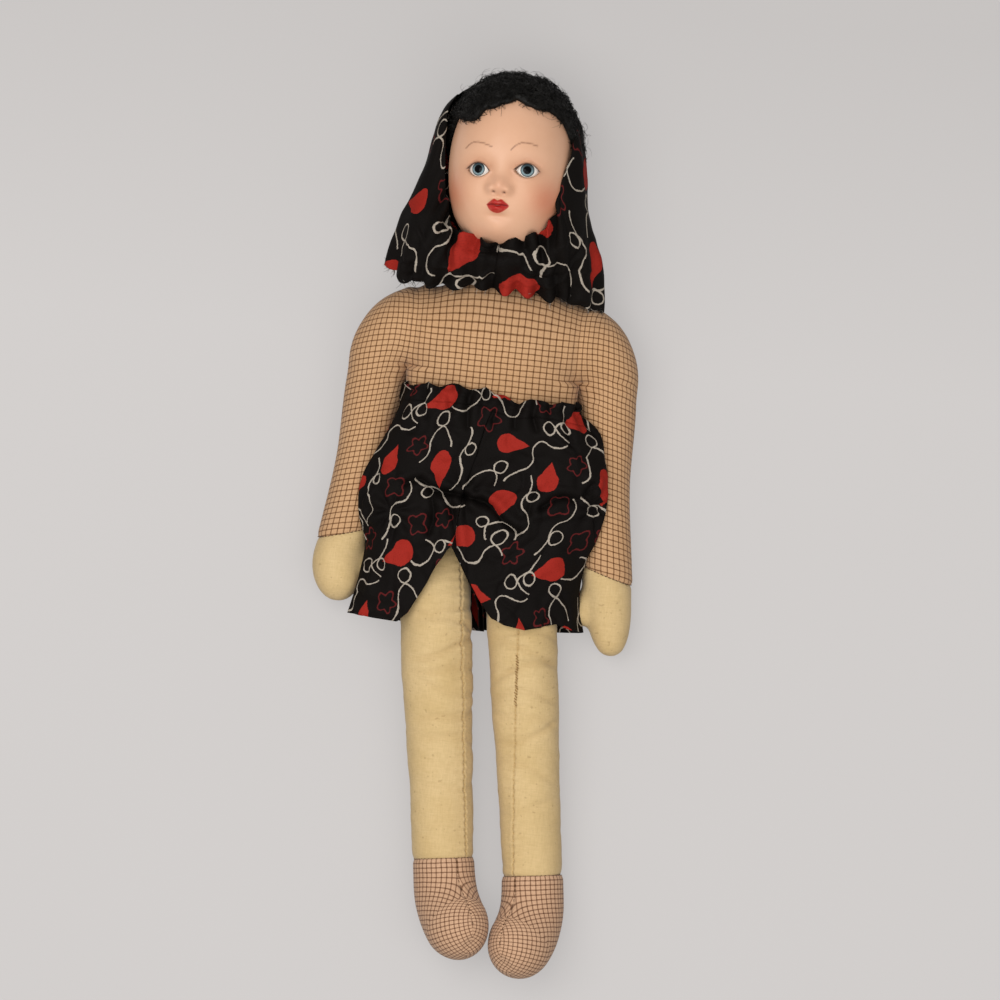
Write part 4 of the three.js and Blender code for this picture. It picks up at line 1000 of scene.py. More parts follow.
WAIST_DROP = [  # x, and how far the waist has slid down there
    (-44, -1.6), (-23, -0.5), (-3, -0.7), (4, -3.6), (15.5, -5.6), (26, -3.8), (38, -4.2), (48, -6),
]
CREASES = [  # lines where the cloth sinks in, as x and y on the front, and how deep
    ([(-40.1, -74.5), (-32.5, -71.8), (-24.2, -76.8), (-16.2, -77.6), (-8.3, -78.5)], 3.4),
    ([(-8.3, -78.5), (5.5, -81.5), (14.2, -89.6), (22.5, -93.8)], 3.2),
    ([(58.2, -65.3), (52.9, -73.2), (42.8, -73.1), (32.3, -80.4)], 3.2),
    ([(-26.3, -77.6), (-23.6, -90.2), (-25.2, -99.3)], 2.2),
    ([(-15.1, -82.6), (-12.4, -92.4), (-9.9, -105.6)], 2.4),
    ([(29.7, -71.1), (26.0, -83.9)], 1.8),
    ([(-35.1, -26.3), (-33.3, -37.4)], 1.6),
    ([(-11.5, -26.1), (-10.6, -40.6)], 2.0),
    ([(3.2, -27.9), (2.3, -34.7)], 1.8),
    ([(22.9, -28.1), (26.1, -36.7)], 1.6),
    ([(41.4, -28.4), (45.2, -42.6)], 1.8),
    ([(-22.9, -25.0), (-20.3, -33.7)], 1.4),
    ([(13.5, -29.1), (14.0, -34.6)], 1.4),
]
DIMPLES = [(-8, -77, 17), (61, -77, 15), (-46, -90, 16)]  # x, y and reach of the rays of small creases round each
FOLDS, COLUMNS, INNER_COLUMNS = 15, 176, 36  # gathers, and points along the outer and the inner side of each half
BAND_ROWS, SEAT_ROWS, LEG_PART_ROWS = 8, 62, 50  # the last row of one is the first of the next
FLOOR_ROOM, BODY_ROOM = 0.45, 0.9  # the cloth's least height, and its least distance from the torso
CROTCH_HALF, LEG_SLOPE, INNER_WIDE = 1.5, 0.1357, 46  # the inner sides' gap, how it slants, and their cloth's width

# Printed cotton: a black ground with off-white looping lines, red drops and thin dark-red rosettes, matt, the
# edges of the print a little ragged. The drawing repeats every 96 by 88 mm.
GROUND, GROUND_WORN, LINE_WHITE, DROP_RED, ROSETTE_RED = "090706", "130f0d", "a99e90", "96261d", "5a1b1b"
REPEAT = (96, 88)
print_cloth, tree = new_material("printed_black_cotton")
cloth = node(tree, "ShaderNodeUVMap", uv_map="cloth")
waver = node(tree, "ShaderNodeTexNoise", {"Vector": cloth, "Scale": 60.0, "Detail": 2.0}, out="Color")
rough_edge = node(tree, "ShaderNodeTexNoise", {"Vector": cloth, "Scale": 900.0, "Detail": 1.0}, out="Color")
moved = cloth
for jitter, reach in ((waver, 0.0045), (rough_edge, 0.0006)):
    centred = node(tree, "ShaderNodeVectorMath", [jitter, (0.5, 0.5, 0.5)], operation="SUBTRACT")
    moved = node(tree, "ShaderNodeVectorMath", [centred, (reach, reach, 0), moved], operation="MULTIPLY_ADD")
pen = node(tree, "ShaderNodeMapRange", [
    node(tree, "ShaderNodeTexNoise", {"Vector": cloth, "Scale": 130.0, "Detail": 1.0}), 0.3, 0.7, 0.0003, 0.00052,
])


def near_motif(x, y):
    """Place on the cloth from the middle of a motif, at the motif's closest repeat."""
    half = np.array(REPEAT) / 2
    low, high = (np.array((x, y)) - half) / 1000, (np.array((x, y)) + half) / 1000
    wrapped = node(tree, "ShaderNodeVectorMath", [moved, (*high, 1), (*low, -1)], operation="WRAP")
    return node(tree, "ShaderNodeVectorMath", [wrapped, (x / 1000, y / 1000, 0)], operation="SUBTRACT")


def any_of(parts):
    """1 where any of the drawn parts is."""
    found = parts[0]
    for part in parts[1:]:
        found = node(tree, "ShaderNodeMath", [found, part], operation="MAXIMUM")
    return found


# Each white line starts at x, y with a heading and goes on in arcs of a radius and a turn in degrees, left turns
# positive.
LINES = [
    (49, 64, 220, [(10, -70), (5, 150), (7, -100), (12, 50)]),
    (96, 31, 100, [(11, -120), (3.5, 330), (9, -60)]),
    (87, 30, 30, [(9, 110), (8, -100), (3.4, -330), (15, 45)]),
    (69, 76, 330, [(11, 120), (3.6, -330), (9, 60)]),
    (34, 5, 100, [(11, 120), (3.3, -330), (9, 60)]),
    (61, 33, 310, [(9, -110), (8, 100), (3.4, 330), (15, -45)]),
    (78, 54, 100, [(13, 75), (3.9, -325), (10, 80), (9, -70)]),
    (2, 22, 220, [(9, -110), (8, 100), (3.5, 330), (15, -45)]),
    (90, 1, 0, [(16, -60), (6, 140), (9, -70), (3.7, 330), (12, -40)]),
    (52, 87, 270, [(14, -50), (3.3, 335), (9, 60), (3.8, -320), (13, 50)]),
    (34, 7, 30, [(9, 110), (8, -100), (3.3, -330), (15, 45)]),
]
strokes = []
for x, y, heading, arcs in LINES:
    spot, way = np.array([x, y], float), math.radians(heading)
    for radius, turn in arcs:
        bend = math.copysign(1, turn)
        middle = spot + radius * bend * np.array([-math.sin(way), math.cos(way)])
        start = way - bend * math.pi / 2
        half_turn = math.radians(turn) / 2
        towards = start + half_turn
        off = near_motif(*middle)
        far = node(tree, "ShaderNodeVectorMath", [off], out="Value", operation="LENGTH")
        on_ring = node(tree, "ShaderNodeMath", [far, radius / 1000, pen], operation="COMPARE")
        along = node(
            tree, "ShaderNodeVectorMath", [off, (math.cos(towards), math.sin(towards), 0)], out="Value",
            operation="DOT_PRODUCT",
        )
        limit = node(tree, "ShaderNodeMath", [far, math.cos(abs(half_turn))], operation="MULTIPLY")
        in_arc = node(tree, "ShaderNodeMath", [along, limit], operation="GREATER_THAN")
        strokes.append(node(tree, "ShaderNodeMath", [on_ring, in_arc], operation="MULTIPLY"))
        way += math.radians(turn)
        spot = middle + radius * np.array([math.cos(start + 2 * half_turn), math.sin(start + 2 * half_turn)])
white = any_of(strokes)

# Drops: place, direction of the point, length and half width. The profile is full at the round end.
DROPS = [
    (60, 79, 200, 21, 6.6), (22, 26, 270, 16, 7.4), (77, 41, 290, 22, 5.8), (43, 44, 90, 18, 5.6),
    (4, 3, 220, 15, 6.8), (18, 61, 0, 19, 6.0),
]
DROP_PROFILE = [(0.04, 0.42), (0.16, 0.83), (0.34, 1.0), (0.62, 0.6)]
drops = []
for x, y, turn, length, half in DROPS:
    off = near_motif(x, y)
    cosine, sine = math.cos(math.radians(turn)), math.sin(math.radians(turn))
    along, aside = (
        node(tree, "ShaderNodeVectorMath", [off, way], out="Value", operation="DOT_PRODUCT")
        for way in ((cosine, sine, 0), (-sine, cosine, 0))
    )
    share = node(tree, "ShaderNodeMapRange", [along, -length / 2000, length / 2000])
    profile = node(tree, "ShaderNodeFloatCurve", {"Value": share}, out=None)
    curve = profile.mapping.curves[0]
    for at, height in DROP_PROFILE:
        curve.points.new(at, height)
    curve.points[0].location, curve.points[-1].location = (0, 0), (1, 0)
    profile.mapping.update()
    width = node(tree, "ShaderNodeMath", [profile.outputs[0], half / 1000], operation="MULTIPLY")
    beside = node(tree, "ShaderNodeMath", [aside], operation="ABSOLUTE")
    drops.append(node(tree, "ShaderNodeMath", [beside, width], operation="LESS_THAN"))
red = any_of(drops)

# Rosettes: place, radius and number of petals, each drawn as one wavy ring.
ROSETTES = [(0, 73, 6.2, 5), (71, 8, 5.4, 4), (36, 86, 5.0, 5), (57, 53, 4.8, 5), (53, 28, 5.6, 4), (87, 13, 4.4, 5)]
ROSETTE_PEN = 0.00048
rosettes = []
for x, y, size, lobes in ROSETTES:
    off = near_motif(x, y)
    axes = node(tree, "ShaderNodeSeparateXYZ", [off], out=None)
    spin = node(tree, "ShaderNodeMath", [axes.outputs[1], axes.outputs[0]], operation="ARCTAN2")
    petal = node(tree, "ShaderNodeMath", [spin, float(lobes), float(x)], operation="MULTIPLY_ADD")
    wave = node(tree, "ShaderNodeMath", [petal], operation="COSINE")
    rim = node(tree, "ShaderNodeMath", [wave, size * 0.24 / 1000, size / 1000], operation="MULTIPLY_ADD")
    far = node(tree, "ShaderNodeVectorMath", [off], out="Value", operation="LENGTH")
    rosettes.append(node(tree, "ShaderNodeMath", [far, rim, ROSETTE_PEN], operation="COMPARE"))
dark_red = any_of(rosettes)

weave = node(tree, "ShaderNodeTexNoise", {"Vector": cloth, "Scale": 1400.0, "Detail": 2.0, "Roughness": 0.7})
worn = node(tree, "ShaderNodeTexNoise", {"Vector": cloth, "Scale": 45.0, "Detail": 4.0})
base = node(
    tree, "ShaderNodeMix",
    {0: node(tree, "ShaderNodeMapRange", [weave, 0.3, 0.75]), 6: linear(GROUND), 7: linear(GROUND_WORN)},
    out=2, data_type="RGBA",
)
ink = node(tree, "ShaderNodeMapRange", [weave, 0.22, 0.5, 0.62, 1.0])
for shape, tone, most in ((dark_red, ROSETTE_RED, 0.9), (red, DROP_RED, 1.0), (white, LINE_WHITE, 0.95)):
    share = node(tree, "ShaderNodeMath", [shape, ink], operation="MULTIPLY")
    share = node(tree, "ShaderNodeMath", [share, most], operation="MULTIPLY")
    base = node(tree, "ShaderNodeMix", {0: share, 6: base, 7: linear(tone)}, out=2, data_type="RGBA")
faded = node(tree, "ShaderNodeMix", {0: worn, 6: base, 7: linear("15110e")}, out=2, data_type="RGBA")
colour = node(tree, "ShaderNodeMix", {0: 0.12, 6: base, 7: faded}, out=2, data_type="RGBA")
relief_of = node(tree, "ShaderNodeBump", {"Strength": 0.3, "Distance": 0.0003, "Height": weave})
fabric = node(
    tree, "ShaderNodeBsdfPrincipled",
    {"Base Color": colour, "Roughness": 0.7, "Specular IOR Level": 0.06, "Normal": relief_of},
)
node(tree, "ShaderNodeOutputMaterial", {"Surface": fabric}, out=None)


def flat_curve(points, count):
    """Flat points at even steps on a smooth curve through the given ones."""
    return through(np.column_stack([points, np.zeros(len(points))]), count)[:, :2]


def to_line(points, line, closed=False):
    """Distance of flat points to a line through the given ones."""
    fine = flat_curve([*line, line[0]] if closed else line, 60)
    best = np.full(len(points), 1e9)
    for a, b in zip(fine[:-1], fine[1:]):
        t = np.clip((points - a) @ (b - a) / max((b - a) @ (b - a), 1e-9), 0, 1)
        best = np.minimum(best, np.linalg.norm(points - a - t[:, None] * (b - a), axis=1))
    return best


def crinkles(points, scale, seed):
    """Narrow ridges that wander over the cloth, from 0 to 1."""
    return np.exp(-((lumps(points, scale, seed) / 0.13) ** 2))


def seat_section(side, row):
    """One half of the shorts at a height, from the middle of the front round the side to the middle of the back."""
    _, x_front, z_front, x_edge, z_edge, x_tuck, z_back = row
    fall, over = z_front - z_edge, max(x_edge - x_tuck, 0.4)
    x_at = lambda share: x_front + share * (side * x_edge - x_front)
    points = [
        (x_at(0), z_front), (x_at(0.4), z_front - 0.02 * fall), (x_at(0.7), z_front - 0.12 * fall),
        (x_at(0.88), z_front - 0.42 * fall), (x_at(1), z_edge), (side * (x_edge - 0.3 * over), z_edge - 2.4),
        (side * (x_tuck + 0.22 * over), z_edge * 0.68), (side * x_tuck, z_edge * 0.4 + 2),
        (side * (x_tuck - 4.5), z_back + 2.6), (side * x_tuck * 0.5, z_back), (0, z_back),
    ]
    return flat_curve(points, COLUMNS)


def keep_off(grid, piece, gap):
    """Lifts the points of a cloth that would lie inside a piece out onto its surface."""
    skin = BVHTree.FromObject(piece, bpy.context.evaluated_depsgraph_get())
    points = grid.reshape(-1, 3) / 1000
    for i, point in enumerate(points):
        near, normal, _, _ = skin.find_nearest(Vector(point), 0.006)
        if near is not None and (Vector(point) - near).dot(normal) < gap / 1000:
            points[i] = near + normal * gap / 1000
    return points.reshape(grid.shape) * 1000


CLOTH_THICK, CLOTH_WIDE = 0.5, 168  # millimetres; the width of each half from the middle of the front to the back


def sheet_of(name, points, places, faces):
    """A sheet of the printed cloth with its thickness, from points and their places on the flat cloth."""
    made = new_piece(name, points.reshape(-1, 3), faces, print_cloth)
    lay_flat(made, places.reshape(-1, 2))
    solid = made.modifiers.new("thickness", "SOLIDIFY")
    solid.thickness, solid.offset = CLOTH_THICK / 1000, -1
    settle(made)
    return made


share = np.linspace(0, 1, COLUMNS)
halves = {}
for key, side in SIDES:
    sections = np.array([seat_section(side, row) for row in SEAT[side]])
    heights = np.array([row[0] for row in SEAT[side]], float)
    front = int(np.argmax(np.abs(sections[-2][:, 0])))
    hem_x = np.array(HEM[side], float)
    low_front = np.interp(sections[-2][: front + 1, 0], hem_x[:, 0], hem_x[:, 1])
    hem = np.concatenate([low_front, np.linspace(low_front[-1], BACK_HEM, COLUMNS - front - 1)])
    band = np.linspace(WAIST_Y, BAND_END, BAND_ROWS)[:, None] * np.ones((1, COLUMNS))
    upper = np.linspace(BAND_END, CROTCH_Y, SEAT_ROWS)[:, None] * np.ones((1, COLUMNS))
    lower = CROTCH_Y + (hem - CROTCH_Y)[None, :] * np.linspace(0, 1, LEG_PART_ROWS)[1:, None]
    y = np.vstack([band[:-1], upper, lower])
    flat = np.stack(  # x and z of every column, each point at its own height
        [eased(np.column_stack([heights, sections[:, c]])[::-1], y[:, c]) for c in range(COLUMNS)], 1
    )
    x, z = flat[:, :, 0], flat[:, :, 1]
    along = unit(np.gradient(flat, axis=1))
    normal = np.stack([along[:, :, 1], -along[:, :, 0]], 2) * -side
    run = share * CLOTH_WIDE
    grains = np.stack([x, y, z], 2).reshape(-1, 3)
    soft = lumps(grains, 26, 31 + side).reshape(x.shape)
    fine = lumps(grains, 9, 37 + side).reshape(x.shape)
    # gathers and a frill at the waist, drawn in where the elastic runs
    phase = 2 * np.pi * FOLDS * share[None, :] + 1.6 * soft
    gather = np.exp(-np.maximum(0, WAIST_Y - 1.5 - y) / 11)
    frill = smoothstep(y, -24, WAIST_Y)
    pinch = np.exp(-(((y + 24) / 1.6) ** 2))
    bulge = (1.5 * gather + 0.9 * frill) * np.cos(phase) - 1.2 * pinch + 0.7 * frill
    # soft swells, wrinkles and creases where the cloth lies loose on top
    on_top = smoothstep(normal[:, :, 1], 0.1, 0.7)
    free = on_top * smoothstep(-y, 27, 45)
    crease_at = -76 + 0.05 * side * x + 2.2 * np.sin(x / 14)
    crease = np.exp(-(((y - crease_at) / 4.5) ** 2)) * (0.55 + 0.45 * np.cos(x / 11 + 0.6))
    bulge += free * (2.0 * soft + 0.8 * fine - 2.4 * crease)
    wrinkled = 1.3 * crinkles(grains, 21, 71 + side) - 1.1 * crinkles(grains, 16, 83 + side)
    bulge += free * wrinkled.reshape(x.shape)
    spots = np.column_stack([x.ravel(), y.ravel()])
    for line, depth in CREASES:
        away = to_line(spots, line).reshape(x.shape)
        bulge += on_top * depth * (0.5 * np.exp(-(((away - 4) / 2.4) ** 2)) - np.exp(-((away / 1.6) ** 2)))
    for px, py, reach in DIMPLES:
        away = np.hypot(x - px, y - py)
        rays = np.cos(7 * np.arctan2(y - py, x - px) + 1.3 * soft)
        bulge += free * rays * 1.6 * np.exp(-((away / reach) ** 2)) * smoothstep(away, 1, 7)
        bulge -= free * 1.6 * np.exp(-((away / 4) ** 2))
    # a wavy hem and a waist that sags
    above_hem = y - hem[None, :]
    bulge += 1.2 * on_top * np.exp(-above_hem / 9) * np.sin(run[None, :] / 5.5 + 2 * soft) * (y < CROTCH_Y)
    flat = flat + normal * bulge[:, :, None]
    edge_wave = 1.2 * frill * np.sin(phase * 0.5 + 2 * fine)
    sag = np.interp(x, *np.array(WAIST_DROP).T) * smoothstep(normal[:, :, 1], -0.7, 0.2) * smoothstep(y, -62, -24)
    grid = np.stack([flat[:, :, 0], y + edge_wave + sag, np.maximum(flat[:, :, 1], FLOOR_ROOM)], 2)
    grid = keep_off(grid, torso, BODY_ROOM)
    grid[:, :, 2] = np.maximum(grid[:, :, 2], FLOOR_ROOM)
    down = np.linalg.norm(np.diff(grid, axis=0), axis=2).mean(1)
    drop = np.concatenate([[0], np.cumsum(down)])
    at_crotch = drop[BAND_ROWS + SEAT_ROWS - 2]
    places = np.stack([
        side * run[None, :] * np.ones_like(y),
        np.where(y > CROTCH_Y, -drop[:, None] * np.ones_like(y), -at_crotch - (CROTCH_Y - y)),
    ], 2)
    halves[key] = (grid, places)

# The gathered waist, one ring of both halves' upper rows, held by the elastic in its hem.
ring, ring_places = (
    np.concatenate([left[:BAND_ROWS], right[:BAND_ROWS, -2:0:-1]], axis=1)
    for left, right in zip(halves["left"], halves["right"])
)
waist = sheet_of("shorts_waist", ring, ring_places, loft_faces(BAND_ROWS, ring.shape[1], close=False))
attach(waist, "torso")
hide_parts("shorts_seat", "waist_elastic")

for key, side in SIDES:
    grid, places = (part[BAND_ROWS - 1:] for part in halves[key])
    rows, crotch = len(grid), SEAT_ROWS - 1
    # the inner side of the leg, from the back seam to the front seam
    t = np.linspace(0, 1, INNER_COLUMNS + 2)[1:-1]
    inner, inner_places, lines = [], [], []
    for r in range(crotch, rows):
        (back, front), (back_place, front_place) = grid[r, [-1, 0]], places[r, [-1, 0]]
        height = back[1] + (front[1] - back[1]) * smoothstep(t, 0.35, 1)
        gap_x = CROTCH_HALF * side + LEG_SLOPE * (-TORSO_BELOW - height)
        x = gap_x + (back[0] - gap_x) * (1 - smoothstep(t, 0, 0.25)) + (front[0] - gap_x) * smoothstep(t, 0.55, 1)
        z = back[2] + (front[2] - back[2]) * smoothstep(t, 0, 1) ** 0.9
        inner.append(np.column_stack([x, height, z]))
        inner_places.append(np.column_stack([
            back_place[0] + side * INNER_WIDE * t, back_place[1] + (front_place[1] - back_place[1]) * t,
        ]))
        first = rows * COLUMNS + (r - crotch) * INNER_COLUMNS
        lines.append([(r + 1) * COLUMNS - 1, *range(first, first + INNER_COLUMNS), r * COLUMNS])
    faces = loft_faces(rows, COLUMNS, cyclic=False, close=False)
    for line, below in zip(lines[:-1], lines[1:]):
        faces += [(a, b, d, c) for a, b, c, d in zip(line[:-1], line[1:], below[:-1], below[1:])]
    half = sheet_of(
        f"shorts_{key}_half", np.vstack([grid.reshape(-1, 3), *inner]),
        np.vstack([places.reshape(-1, 2), *inner_places]), faces if side > 0 else [f[::-1] for f in faces],
    )
    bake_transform(half)
    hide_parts(f"shorts_{key}_leg")


# Neck
# A stuffed cotton ball sewn into the torso, with a stem that the hollow head is pushed onto and turns on.
NECK, NECK_BALL = np.array([0, 46, 34]), 15
STEM = [(7, 13.4), (36, 12.9)]  # height above the ball's middle, and radius
STEM_END = [(35.6, 12.2), (35.9, 10.0)]
neck_rings = [
    oval(NECK + (0, y, 0), (1, 0, 0), (0, 0, 1), r, r, count=64)
    for y, r in [
        *((NECK_BALL * math.sin(a), NECK_BALL * math.cos(a)) for a in np.linspace(-1.5, 0.35, 24)),
        *((y, np.interp(y, *np.array(STEM).T)) for y in np.linspace(7, 35, 20)), *STEM_END,
    ]
]
neck = closed_lofts("neck_cover", [neck_rings], yellow_cotton)
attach(neck, "neck")
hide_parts("neck_plug")


# Head
# A hollow head, pressed from composition, sanded and sprayed with flesh paint. Cheeks are blown on, lips, brows and
# lid lines are painted by hand. The right cheek's lower edge has a hairline crack.
HEAD_WIDTH, HEAD_LENGTH, HEAD_DEPTH, HEAD_TURN = 66, 90, 79, math.radians(-9)
EYES = {"right": (-11.8, -6.0), "left": (14.1, -4.0)}  # in the head's own frame, x across and y up
EYE_HALF, LID_UP, LID_DOWN = 6.2, 4.0, 3.4
NOSE, MOUTH, CHIN = (1.0, -13.2), (0.6, -23.4), (0.4, -36.2)
NAPE_TAPER, JAW_FULL, CROWN_FULL = 0.3, 0.58, 0.86  # lower numbers are fuller
HEAD_COLUMNS, HEAD_ROWS, FACE_CROWD, FACE_BUNCH, FACE_LEVEL = 300, 250, 0.66, 0.1, 0.38
NECK_HOLE = 12.9 * 1.07
LIPS = [(-5.5, -23.5), (-3.3, -21.6), (-1.2, -20.1), (0.7, -20.8), (2.4, -20.0), (4.6, -21.3), (6.6, -23.2),
        (4.5, -25.7), (0.8, -27.5), (-3.3, -26.4)]
PART_LINE = [(-4.6, -23.5), (-1.6, -23.1), (0.7, -23.6), (2.8, -23.0), (5.6, -23.2)]
BROWS = [
    [(-20.4, 4.9), (-18.0, 7.5), (-14.7, 8.9), (-9.8, 8.4), (-5.4, 7.1)],
    [(5.0, 6.6), (7.2, 9.1), (10.8, 11.0), (14.6, 10.8), (17.9, 9.8)],
]
LID_CREASES = [[(-17.6, -3.3), (-12.2, 0.1), (-5.4, -2.8)], [(8.2, -1.1), (14.0, 2.2), (20.2, -0.6)]]
CRACK = [(-26.1, -32.5), (-24.2, -34.6), (-21.3, -36.9), (-20.3, -39.0), (-18.6, -40.7)]
SKIN, BLUSH, LIP_RED, BROW_BROWN = "d7aa8c", "c8714f", "a80f0d", "74492f"


def bell(x, middle, width):
    """A soft bump of height 1 round a middle."""
    return np.exp(-(((x - middle) / width) ** 2))


def inside(points, line):
    """Whether flat points lie inside a closed line."""
    fine = flat_curve([*line, line[0]], 80)
    odd = np.zeros(len(points), bool)
    for (ax, ay), (bx, by) in zip(fine[:-1], fine[1:]):
        if ay != by:
            crosses = (points[:, 1] < ay) != (points[:, 1] < by)
            odd ^= crosses & (points[:, 0] < ax + (points[:, 1] - ay) / (by - ay) * (bx - ax))
    return odd


def lid_gap(points, eye):
    """Signed distance to the edge of the opening between the lids, below zero inside it."""
    x, y = points[:, 0] - eye[0], points[:, 1] - eye[1]
    open_ = np.where(y > 0, LID_UP, LID_DOWN)
    arch = open_ * (1 - (x / EYE_HALF) ** 2)
    slope = -2 * open_ * x / EYE_HALF**2
    return (np.abs(y) - arch) / np.sqrt(1 + slope**2)


def relief(x, y):
    """How far the face stands out of the plain head."""
    (nx, ny), (mx, my), (cx, cy) = NOSE, MOUTH, CHIN
    forms = [  # amount, middle across, width, middle up, height
        (5.2, nx, 4.6, ny - 0.3, 4.4),  # tip of the nose
        (2.3, nx - 5.2, 2.3, ny - 1.6, 2.5), (2.3, nx + 5.2, 2.3, ny - 1.6, 2.5),  # its wings
        (-1.5, nx - 2.7, 1.0, ny - 3.4, 0.8), (-1.5, nx + 2.9, 1.0, ny - 3.4, 0.8),  # nostrils
        (-0.6, mx + 0.1, 1.3, my + 4.9, 1.7),  # groove above the lips
        (2.2, mx - 1.8, 2.4, my + 1.5, 1.7), (2.2, mx + 1.8, 2.4, my + 1.5, 1.7),  # upper lip
        (2.7, mx, 3.6, my - 1.8, 1.8),  # lower lip
        (1.0, mx, 8, my, 5), (-1.0, mx, 4.4, my, 0.6),  # mouth, and the line between the lips
        (-1.0, mx, 5.5, my - 5.6, 2.0),  # hollow below the lower lip
        (3.4, cx, 8.5, cy, 6.6),  # chin
        (2.8, -17.5, 10.5, -18, 11.5), (2.8, 19, 10.5, -18, 11.5),  # cheeks
    ]
    for ex, ey in EYES.values():  # socket, eyeball and brow
        forms += [(-2.5, ex, 8, ey + 2, 6), (1.8, ex, 7.6, ey, 4.8), (0.5, ex, 8, ey + 12.5, 4)]
    bridge = 2.0 * bell(x, nx, 4.2) * smoothstep(y, ny - 1, ny + 5) * bell(y, ny, 10)
    return bridge + sum(
        amount * bell(x, across, wide) * bell(y, up, tall) for amount, across, wide, up, tall in forms
    )


def to_doll(local):
    """Points of the head's own frame in the doll's frame."""
    x, y, z = (np.asarray(local, float) + (0, 54, 12)).T
    c, s = math.cos(HEAD_TURN), math.sin(HEAD_TURN)
    return np.column_stack([x * c + z * s, y, z * c - x * s]) + NECK


def head_points(tilt, angle, room=0.0, room_above=0.0):
    """Points of the plain head at tilts up and angles round from the front, with room added to its half sizes."""
    tilt, angle = np.broadcast_arrays(tilt, angle)
    girth = np.where(tilt < 0, np.cos(tilt) ** JAW_FULL, np.cos(tilt) ** CROWN_FULL)
    nape = np.where(np.cos(angle) < 0, 1 + NAPE_TAPER * np.sin(np.minimum(0, tilt)), 1)
    x = (HEAD_WIDTH / 2 + room) * girth * np.sin(angle)
    y = (HEAD_LENGTH / 2 + room_above) * np.sin(tilt)
    z = (HEAD_DEPTH / 2 + room) * girth * nape * np.cos(angle)
    return np.stack([x, y, z], 2)


# The head's points lie closer together over the face.
turn = 2 * np.pi * np.arange(HEAD_COLUMNS) / HEAD_COLUMNS
angle = turn - FACE_CROWD * np.sin(turn)
level = np.arange(1, HEAD_ROWS) / HEAD_ROWS
bunch = np.sin(2 * np.pi * (level - FACE_LEVEL)) + math.sin(2 * np.pi * FACE_LEVEL)
tilt = np.pi * (level - 0.5 - FACE_BUNCH * bunch)
flat, ahead = head_points(tilt[:, None], angle[None, :]).reshape(-1, 3), np.tile(np.cos(angle), len(tilt))
face = ahead > 0
spots = flat[:, :2]
for eye in EYES.values():
    gap = lid_gap(spots, eye)
    near = face & (np.abs(gap) < 0.21) & (np.hypot(spots[:, 0] - eye[0], spots[:, 1] - eye[1]) < 8)
    for axis in (0, 1):
        probe = spots.copy()
        probe[:, axis] += 0.05
        spots[near, axis] -= (gap * (lid_gap(probe, eye) - gap) / 0.05)[near]
flat[:, 2] += relief(spots[:, 0], spots[:, 1]) * smoothstep(ahead, 0, 0.5)
lids = np.full(len(flat), 9.0)
for eye in EYES.values():
    gap = lid_gap(spots, eye)
    here = np.hypot(spots[:, 0] - eye[0], spots[:, 1] - eye[1]) < 9
    lids = np.where(here & face, np.minimum(lids, gap), lids)
flat[:, 2] += 0.55 * bell(lids, 0.5, 0.7) * (lids > -0.02)
flat[:, 2] -= 5.5 * smoothstep(-lids, 0.03, 0.5) * face
for crease in LID_CREASES:
    flat[:, 2] -= 0.55 * bell(to_line(spots, crease), 0, 0.55) * face
flat[:, 2] -= 0.25 * bell(to_line(spots, CRACK), 0, 0.3) * face
flat[:, 2] += 0.12 * lumps(flat, 9, 2)
below = (flat[:, 1] < -40) & (np.hypot(flat[:, 0], flat[:, 2] + 12) < NECK_HOLE)

# Where the paint goes, from 0 to 1 at each point.
x, y = spots.T
masks = {
    "lips": smoothstep(np.where(inside(spots, LIPS), 1, -1) * to_line(spots, LIPS, closed=True), -0.2, 0.25),
    "parting": bell(to_line(spots, PART_LINE), 0, 0.42),
    "blush": np.minimum(
        1,
        0.95 * bell(np.hypot((x - 25.5) / 0.8, y + 19), 0, 10.5)
        + 0.9 * bell(np.hypot((x + 27) / 0.8, y + 20), 0, 11)
        + 0.22 * bell(np.hypot(x - NOSE[0], y - NOSE[1]), 0, 5)
        + 0.15 * bell(np.hypot(x - CHIN[0], y + 41), 0, 9),
    ),
    "brow": np.maximum(*[smoothstep(-to_line(spots, line), -0.55, -0.15) for line in BROWS]),
    "lash": smoothstep(-lids, -1.0, -0.25) * (lids > -0.2) * np.max(
        [np.where(y > ey + 0.2, 1, 0.28) * (np.abs(x - ex) < 7.4) for ex, ey in EYES.values()], 0
    ),
    "shade": np.clip(
        sum(0.85 * bell(np.hypot((x - ex) / 1.3, (y - ey - 2.0)), 0, 5.0) for ex, ey in EYES.values())
        + sum(0.1 * bell(x, NOSE[0] + s * 7.8, 1.8) * bell(y, NOSE[1] - 1.5, 4) for s in (-1, 1))
        + sum(0.3 * bell(x, NOSE[0] + s * 5.2, 2.4) * bell(y, NOSE[1] + 8.5, 5) for s in (-1, 1))
        + 0.5 * bell(x, MOUTH[0], 5) * bell(y, MOUTH[1] - 5.0, 1.3), 0, 1,
    ),
    "nostril": sum(bell(np.hypot(x - nx, (y + 16.3) / 0.8), 0, 0.7) for nx in (-1.75, 3.95)),
    "crack": bell(to_line(spots, CRACK), 0, 0.32),
}

